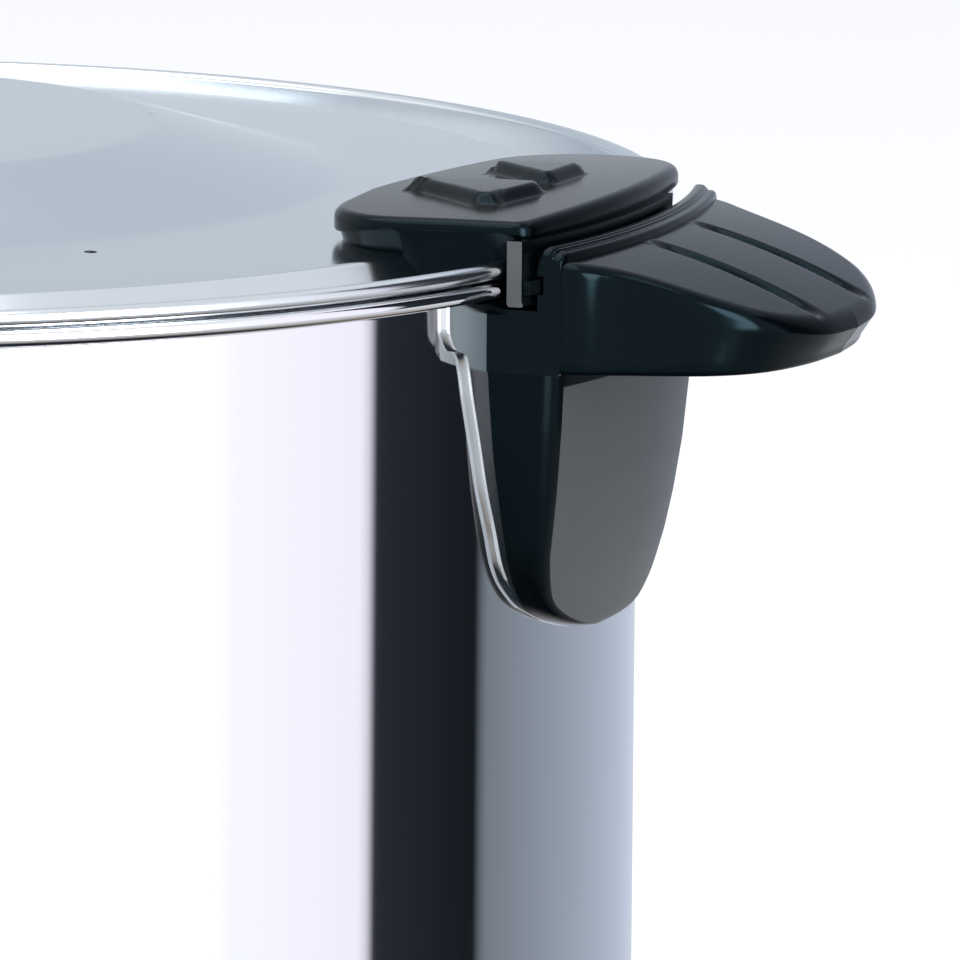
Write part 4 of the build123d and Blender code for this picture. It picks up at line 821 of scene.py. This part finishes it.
def tab_skirt(bm):
    """The wall that drops outside the rolled rims, with its foot and the lock lug."""
    profile = [(140.6, 4.8), (140.6, -5.0), (140.9, -5.4), (142.9, -5.4)]
    profile += [(143.2, -5.1), (142.9, -4.6), (142.9, 4.8)]
    # The front end face takes the grey textured finish: painted light, for the light falling on that face.
    swept(bm, profile, lambda r: (-asin(40.35 / r), radians(6.9)), 48, finish=1)
    lug = [(142.7, LUG_LOW), (LUG_R, LUG_LOW), (LUG_R, LUG_HIGH), (142.7, LUG_HIGH)]
    swept(bm, lug, lambda r: (radians(LUG_START), radians(LUG_END)), 2)


class URN_OT_lid_tabs(bpy.types.Operator):
    """Mould the two lid tabs: padded plate, hull and skirt"""

    bl_idname = "urn.lid_tabs"
    bl_label = "Lid tabs"

    def execute(self, context):
        for left, node in enumerate(("lid_tab_right", "lid_tab_left")):
            bm = bmesh.new()
            skin(bm, tab_rows(), closed=True)
            tab_skirt(bm)
            finish = [finish_of("black_moulding"), finish_of("grain_and_painted_sheen")]
            piece = as_piece(bm, node + "_moulding", finish, left, radians(40))
            dress(piece, BODY_OF[node], "black_moulding", node)
        return {"FINISHED"}


class URN_OT_lid(bpy.types.Operator):
    """Smooth the pressed lid"""

    bl_idname = "urn.lid"
    bl_label = "Lid"

    def execute(self, context):
        piece = merged_copy("lid_pan", "lid_pressing", [finish_of("stainless_satin")], radians(30))
        dress(piece, BODY_OF["lid_pan"], "stainless_satin", "lid_pan")
        return {"FINISHED"}


class URN_OT_plain_nodes(bpy.types.Operator):
    """Give every other CAD piece its finish"""

    bl_idname = "urn.plain_nodes"
    bl_label = "Other pieces"

    def execute(self, context):
        for name, node in NODES.items():
            if node.hide_render:
                continue
            node.data.materials.clear()
            node.data.materials.append(finish_of(SLOT_OF[name]))
        return {"FINISHED"}


# The screen round the urn: its size in metres, and its cards, each by where it starts and ends in degrees
# about the urn's axis and by the settings that hold its colour there.
SCREEN_R, SCREEN_TOP = 1.5, 1.7
CARDS = (
    (-180, -10, "key_card", "key_card"),
    (-10, 13, "veil_start", "veil_end"),
    (13, 35, "flag_start", "flag_end"),
    (35, 92, "backdrop_start", "backdrop_end"),
    (104, 150, "rear_card", "rear_card"),
    (180, 180, "key_card", "key_card"),
)
CARD_EDGE = 0.7
# Where the upright strip light starts, is full, fades and ends, in degrees about the urn's axis.
STRIP = ((-42, 0), (-38, 1), (-22, 1), (-14, 0))
# The round card on the floor: radius in metres and colour. Its dark middle is painted shade, standing for the
# shaded floor under the urn.
FLOOR_CARD_R, FLOOR_CARD_Z = 1.48, 0.003
FLOOR_CARD_SHADE = ((0.3, "1A2530"), (0.44, "A0968D"), (0.62, "C6C8CB"), (1.0, "E2E5E9"))


class URN_OT_stage(bpy.types.Operator):
    """Lay the floor, hang the lights and set the camera"""

    bl_idname = "urn.stage"
    bl_label = "Stage"

    def execute(self, context):
        scene = context.scene
        scene.view_settings.view_transform = "Standard"
        self.world(scene)
        self.floor()
        self.reflections()
        self.floor_card_and_shade()
        self.lights(scene)
        self.camera(scene)
        return {"FINISHED"}

    def world(self, scene):
        """A plain pale surround."""
        world = bpy.data.worlds.new("studio_surround")
        world.use_nodes = True
        world.node_tree.nodes["Background"].inputs["Color"].default_value = (0.95, 0.96, 1, 1)
        world.node_tree.nodes["Background"].inputs["Strength"].default_value = 1.0
        scene.world = world

    def floor(self):
        """A wide pale floor under the feet."""
        bm = bmesh.new()
        bmesh.ops.create_grid(bm, x_segments=1, y_segments=1, size=60)
        material, tree = new_material("pale_floor")
        mottle = spread(tree, noise(tree, centred(tree), 3), 0.8, 0.95)
        tint = (*settings("urn_stage").floor, 1)
        shader = add_node(tree, "ShaderNodeBsdfPrincipled", {"Base Color": tint, "Roughness": mottle})
        close_material(tree, shader)
        finish_mesh(bm, "studio_floor", [material])

    def reflections(self):
        """A screen round the urn with the cards and strip light of a studio, seen only in reflections."""
        stage = settings("urn_stage")
        bm = bmesh.new()
        turns = [radians(i * 3.0) for i in range(120)]
        round_urn = [(SCREEN_R * cos(a), AXIS_Y + SCREEN_R * sin(a)) for a in turns]
        skin(bm, [[Vector((x, y, z)) for x, y in round_urn] for z in (0.0, SCREEN_TOP)], closed=True)
        material, tree = new_material("studio_screen")
        place = add_node(tree, "ShaderNodeSeparateXYZ", {"Vector": centred(tree)})
        turn = add_node(
            tree, "ShaderNodeMath", {0: place.outputs["Y"], 1: place.outputs["X"]}, operation="ARCTAN2"
        )
        part = add_node(
            tree, "ShaderNodeMapRange", {"Value": turn.outputs[0], "From Min": -pi, "From Max": pi}
        ).outputs["Result"]

        def along(degrees):
            return min((degrees + 180) / 360, 1.0)

        stops = []
        for start, end, first, last in CARDS:
            stops.append((along(start + CARD_EDGE), getattr(stage, first)))
            if end > start:
                stops.append((along(end - CARD_EDGE), getattr(stage, last)))
        tint = ramp(tree, part, stops)
        lit = ramp(tree, part, [(along(degrees), (level,) * 3) for degrees, level in STRIP])
        power = spread(tree, lit, stage.cards, stage.strip)
        close_material(tree, add_node(tree, "ShaderNodeEmission", {"Color": tint, "Strength": power}))
        self.only_reflected(finish_mesh(bm, "studio_screen", [material]))

    def floor_card_and_shade(self):
        """A round card on the floor, seen only in reflections: its dark middle under the urn is painted
        shade, its border pale.
        """
        bm = bmesh.new()
        bmesh.ops.create_circle(bm, cap_ends=True, segments=96, radius=FLOOR_CARD_R)
        bmesh.ops.translate(bm, verts=bm.verts, vec=(0, AXIS_Y, FLOOR_CARD_Z))
        material, tree = new_material("studio_card_and_shade")
        place = add_node(tree, "ShaderNodeSeparateXYZ", {"Vector": centred(tree)})
        flat = add_node(tree, "ShaderNodeCombineXYZ", {"X": place.outputs["X"], "Y": place.outputs["Y"]})
        radius = add_node(tree, "ShaderNodeVectorMath", {0: flat.outputs["Vector"]}, operation="LENGTH")
        tint = ramp(tree, radius.outputs["Value"], [(place_r, linear(code)) for place_r, code in FLOOR_CARD_SHADE])
        close_material(tree, add_node(tree, "ShaderNodeEmission", {"Color": tint, "Strength": 1.0}))
        self.only_reflected(finish_mesh(bm, "studio_card_and_shade", [material]))

    def only_reflected(self, piece):
        """Keeps a piece of the studio out of sight, except in reflections."""
        for ray in ("camera", "diffuse", "shadow", "transmission"):
            setattr(piece, "visible_" + ray, False)

    def lights(self, scene):
        """Two large soft boxes, one overhead and one at the left."""
        boxes = {
            "overhead_box": ((-0.4, -0.3, 2.6), 2.2, 40),
            "left_box": ((-2.2, -1.6, 1.4), 1.6, 24),
        }
        for name, (place, size, power) in boxes.items():
            light = bpy.data.lights.new(name, "AREA")
            light.shape = "SQUARE"
            light.size = size
            light.energy = power
            lamp = bpy.data.objects.new(name, light)
            lamp.visible_camera = False
            lamp.location = place
            lamp.rotation_euler = (Vector((0, 0, 0.3)) - Vector(place)).to_track_quat("-Z", "Y").to_euler()
            scene.collection.objects.link(lamp)

    def camera(self, scene):
        """The camera, aimed past the rim at the right handle."""
        stage = settings("urn_stage")
        target = Vector((0, AXIS_Y, RIM_Z))
        flat = stage.distance * cos(stage.elevation)
        place = target + Vector(
            (flat * sin(stage.azimuth), -flat * cos(stage.azimuth), stage.distance * sin(stage.elevation))
        )
        yaw, pitch = stage.heading, stage.tilt
        forward = Vector((-sin(yaw) * cos(pitch), cos(yaw) * cos(pitch), -sin(pitch)))
        right = Vector((cos(yaw), sin(yaw), 0))
        up = right.cross(forward)
        rolled_right = right * cos(stage.roll) + up * sin(stage.roll)
        rolled_up = up * cos(stage.roll) - right * sin(stage.roll)
        turn = Matrix((rolled_right, rolled_up, -forward)).transposed()
        lens = bpy.data.cameras.new("urn_camera")
        lens.lens = stage.lens
        lens.sensor_width = 36
        lens.clip_end = 200
        camera = bpy.data.objects.new("urn_camera", lens)
        camera.matrix_world = Matrix.Translation(place) @ turn.to_4x4()
        scene.collection.objects.link(camera)
        scene.camera = camera


OPERATORS = (
    URN_OT_tank,
    URN_OT_lid,
    URN_OT_handles,
    URN_OT_brackets,
    URN_OT_lid_tabs,
    URN_OT_plain_nodes,
    URN_OT_stage,
)
GROUPS = {"urn_sizes": UrnSizes, "urn_finish": UrnFinish, "urn_stage": StageSettings}


class URN_PT_panel(bpy.types.Panel):
    """The urn's sizes, finishes and build steps"""

    bl_idname = "URN_PT_panel"
    bl_label = "Coffee Urn"
    bl_space_type = "VIEW_3D"
    bl_region_type = "UI"
    bl_category = "Coffee Urn"

    def draw(self, context):
        for group in GROUPS:
            box = self.layout.box()
            values = getattr(context.scene, group)
            for name in values.bl_rna.properties.keys():
                if name not in ("rna_type", "name"):
                    box.prop(values, name)
        for operator in OPERATORS:
            self.layout.operator(operator.bl_idname)


def register():
    """Registers the settings, the operators and the panel."""
    for name, group in GROUPS.items():
        bpy.utils.register_class(group)
        setattr(bpy.types.Scene, name, PointerProperty(type=group))
    for cls in (*OPERATORS, URN_PT_panel):
        bpy.utils.register_class(cls)


def unregister():
    """Takes the add-on's classes away again."""
    for cls in (URN_PT_panel, *reversed(OPERATORS)):
        bpy.utils.unregister_class(cls)
    for name, group in GROUPS.items():
        delattr(bpy.types.Scene, name)
        bpy.utils.unregister_class(group)


def main():
    """Builds every piece and the stage."""
    register()
    for operator in OPERATORS:
        group, name = operator.bl_idname.split(".")
        getattr(getattr(bpy.ops, group), name)()


if __name__ == "__main__":
    main()
